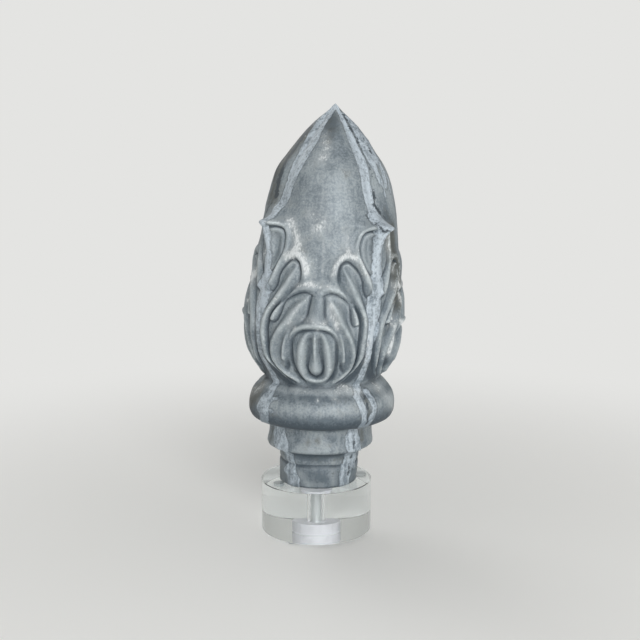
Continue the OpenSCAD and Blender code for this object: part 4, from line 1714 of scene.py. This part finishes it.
@dataclass
class Stand:
    """The clear disc, kept from the CAD model, with its bolt and four stick-on feet.

    Attributes:
        bore: Diameter of the bolt hole in mm.
        recess: Diameter of the counterbore in mm.
        recess_height: Height of the counterbore in mm.
        disc: What the disc is made of.
        bolt: The bolt up its middle.
        foot: One of its feet.
    """

    bore: float = 8.3
    recess: float = 22.0
    recess_height: float = 7.5
    disc: CastAcrylic = CastAcrylic()
    bolt: Bolt = field(default_factory=Bolt)
    foot: Bumper = field(default_factory=Bumper)

    def dress(self, nodes: dict[str, bpy.types.Object]) -> None:
        """Gives the disc its real finish and puts the bolt and the feet in place.

        Args:
            nodes: The CAD parts by name.
        """
        low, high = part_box("base")
        recess_top = low.z + self.recess_height * MM
        acrylic = self.disc.build((low + high) / 2, self.bore / 2 * MM, self.recess / 2 * MM, recess_top)
        for slot in nodes["base"].material_slots:
            slot.material = acrylic
        LOG.info("base dressed in %s", acrylic.name)
        LOG.info("%s made", self.bolt.build().name)
        for name in sorted(nodes):
            if name.startswith("foot"):
                LOG.info("%s made", self.foot.build(name).name)


@dataclass(frozen=True)
class Lamp:
    """One square soft lamp.

    Attributes:
        name: What it is for.
        position: Where it hangs, in metres.
        size: Its side in metres.
        power: Its power in watts.
    """

    name: str
    position: tuple[float, float, float]
    size: float
    power: float

    def hang(self, target: Vector) -> None:
        """Hangs the lamp in the scene.

        Args:
            target: What it is turned to, in metres.
        """
        data = bpy.data.lights.new(self.name, "AREA")
        data.size = self.size
        data.energy = self.power
        lamp = put(self.name, data)
        lamp.location = self.position
        lamp.rotation_euler = (target - Vector(self.position)).to_track_quat("-Z", "Y").to_euler()
        lamp.visible_transmission = False


@dataclass
class Studio:
    """A pale floor and wall, soft lamps and the camera.

    Attributes:
        floor_colour: The paper on the floor.
        backdrop_colour: What the eye sees behind the object.
        fade_from: How far from the object, in metres, the floor starts to fade into that.
        fade_to: Where it has faded.
        floor_front: How far the floor reaches to the front, in metres.
        floor_side: How far it reaches to each side.
        bend_from: Where behind the object it starts to curve up, in metres.
        bend: Radius of that curve in metres.
        bend_points: How many points it has.
        wall_top: Height of the wall in metres.
        fibre: Width in mm of the paper's fibres, coarser than they are.
        fibre_height: Their height in mm.
        lamps: The lamps.
        bud_height: Height of what the lamps are turned to, in metres.
        world_strength: How strongly the room lights the object.
        camera_offset: How far to the right of the stand's middle the camera is, in mm.
        camera_back: How far in front of it, in mm.
        camera_height: How far above the table, in mm.
        pitch: How far it looks down, in degrees.
        lens: Its focal length in mm.
    """

    floor_colour: str = "#f8f8f6"
    backdrop_colour: str = "#e4e4e2"
    fade_from: float = 0.06
    fade_to: float = 0.6
    floor_front: float = 2.5
    floor_side: float = 4.0
    bend_from: float = 1.2
    bend: float = 0.8
    bend_points: int = 14
    wall_top: float = 4.0
    fibre: float = 1.2
    fibre_height: float = 0.1
    lamps: tuple[Lamp, ...] = (
        Lamp("key", (0.32, -1.25, 0.62), 0.6, 10.0),
        Lamp("fill", (1.2, -0.6, 0.35), 0.8, 0.4),
        Lamp("rim", (-0.6, 0.8, 1.0), 0.6, 2.6),
    )
    bud_height: float = 0.15
    world_strength: float = 0.5
    camera_offset: float = 2.6
    camera_back: float = 671.7
    camera_height: float = 255.7
    pitch: float = 9.1
    lens: float = 56.25

    def build(self) -> None:
        """Builds the floor, the lamps, the room's light and the camera."""
        self.floor()
        for lamp in self.lamps:
            lamp.hang(Vector((0, 0, self.bud_height)))
        self.room()
        self.camera()

    def floor(self) -> None:
        """Lays a floor that curves up into a wall behind the object."""
        profile = [(-self.floor_front, 0.0), (self.bend_from, 0.0)]
        profile += [(self.bend_from + self.bend * math.sin(t), self.bend - self.bend * math.cos(t))
                    for t in np.linspace(0.1, math.pi / 2, self.bend_points)]
        profile += [(self.bend_from + self.bend, self.wall_top)]
        co = [(x, y, z) for y, z in profile for x in (-self.floor_side, self.floor_side)]
        faces = [(2 * i, 2 * i + 1, 2 * i + 3, 2 * i + 2) for i in range(len(profile) - 1)]
        obj = new_piece("floor", co, faces)
        obj.data.materials.append(self.paper())

    def paper(self) -> bpy.types.Material:
        """Makes the floor's uncoated paper, matt and faintly fibrous, which fades into the backdrop.

        Returns:
            The material.
        """
        material, tree = blank_material("paper_floor")
        place = add(tree, "TexCoord").outputs["Object"]
        fibre = add(tree, "TexNoise", {"Vector": place, "Scale": per_metre(self.fibre), "Detail": 3.0})
        bump = add(tree, "Bump", {"Height": fibre, "Strength": 0.1, "Distance": self.fibre_height * MM})
        shader = add(tree, "BsdfPrincipled", {"Base Color": srgb(self.floor_colour), "Roughness": 0.7,
                                              "Normal": bump})
        seen = add(tree, "LightPath").outputs["Is Camera Ray"]
        far = add(tree, "VectorMath", {0: place}, operation="LENGTH")
        fade = add(tree, "MapRange", {"Value": far, "From Min": self.fade_from, "From Max": self.fade_to},
                   interpolation_type="SMOOTHSTEP")
        share = add(tree, "Math", {0: seen, 1: fade}, operation="MULTIPLY")
        glow = add(tree, "Emission", {"Color": srgb(self.backdrop_colour), "Strength": 1.0})
        surface = add(tree, "MixShader", {0: share, 1: shader, 2: glow})
        add(tree, "OutputMaterial", {"Surface": surface})
        return material

    def room(self) -> None:
        """Lights the room evenly, and lets the eye see the plain backdrop behind the object."""
        world = bpy.data.worlds.new("room")
        world.use_nodes = True
        tree = world.node_tree
        tree.nodes.clear()
        seen = add(tree, "LightPath").outputs["Is Camera Ray"]
        strength = add(tree, "MapRange", {"Value": seen, "To Min": self.world_strength, "To Max": 1.0})
        light = add(tree, "Background", {"Color": srgb(self.backdrop_colour), "Strength": strength})
        add(tree, "OutputWorld", {"Surface": light})
        bpy.context.scene.world = world

    def camera(self) -> None:
        """Sets up the camera in front, a little above the middle of the object and looking down."""
        low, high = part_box("base")
        data = bpy.data.cameras.new("camera")
        data.lens = self.lens
        data.sensor_width = 36.0
        camera = put("camera", data)
        camera.location = ((low.x + high.x) / 2 + self.camera_offset * MM, -self.camera_back * MM,
                           self.camera_height * MM)
        camera.rotation_euler = (math.radians(90 - self.pitch), 0, 0)
        bpy.context.scene.camera = camera


def main() -> None:
    """Builds the whole scene."""
    logging.basicConfig(level=logging.INFO, format="%(name)s: %(message)s")
    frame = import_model()
    scene = bpy.context.scene
    scene.view_settings.view_transform = "Standard"
    finial = Finial().build()
    LOG.info("finial: %d faces", len(finial.data.polygons))
    Stand().dress(frame["nodes"])
    Studio().build()


if __name__ == "__main__":
    main()
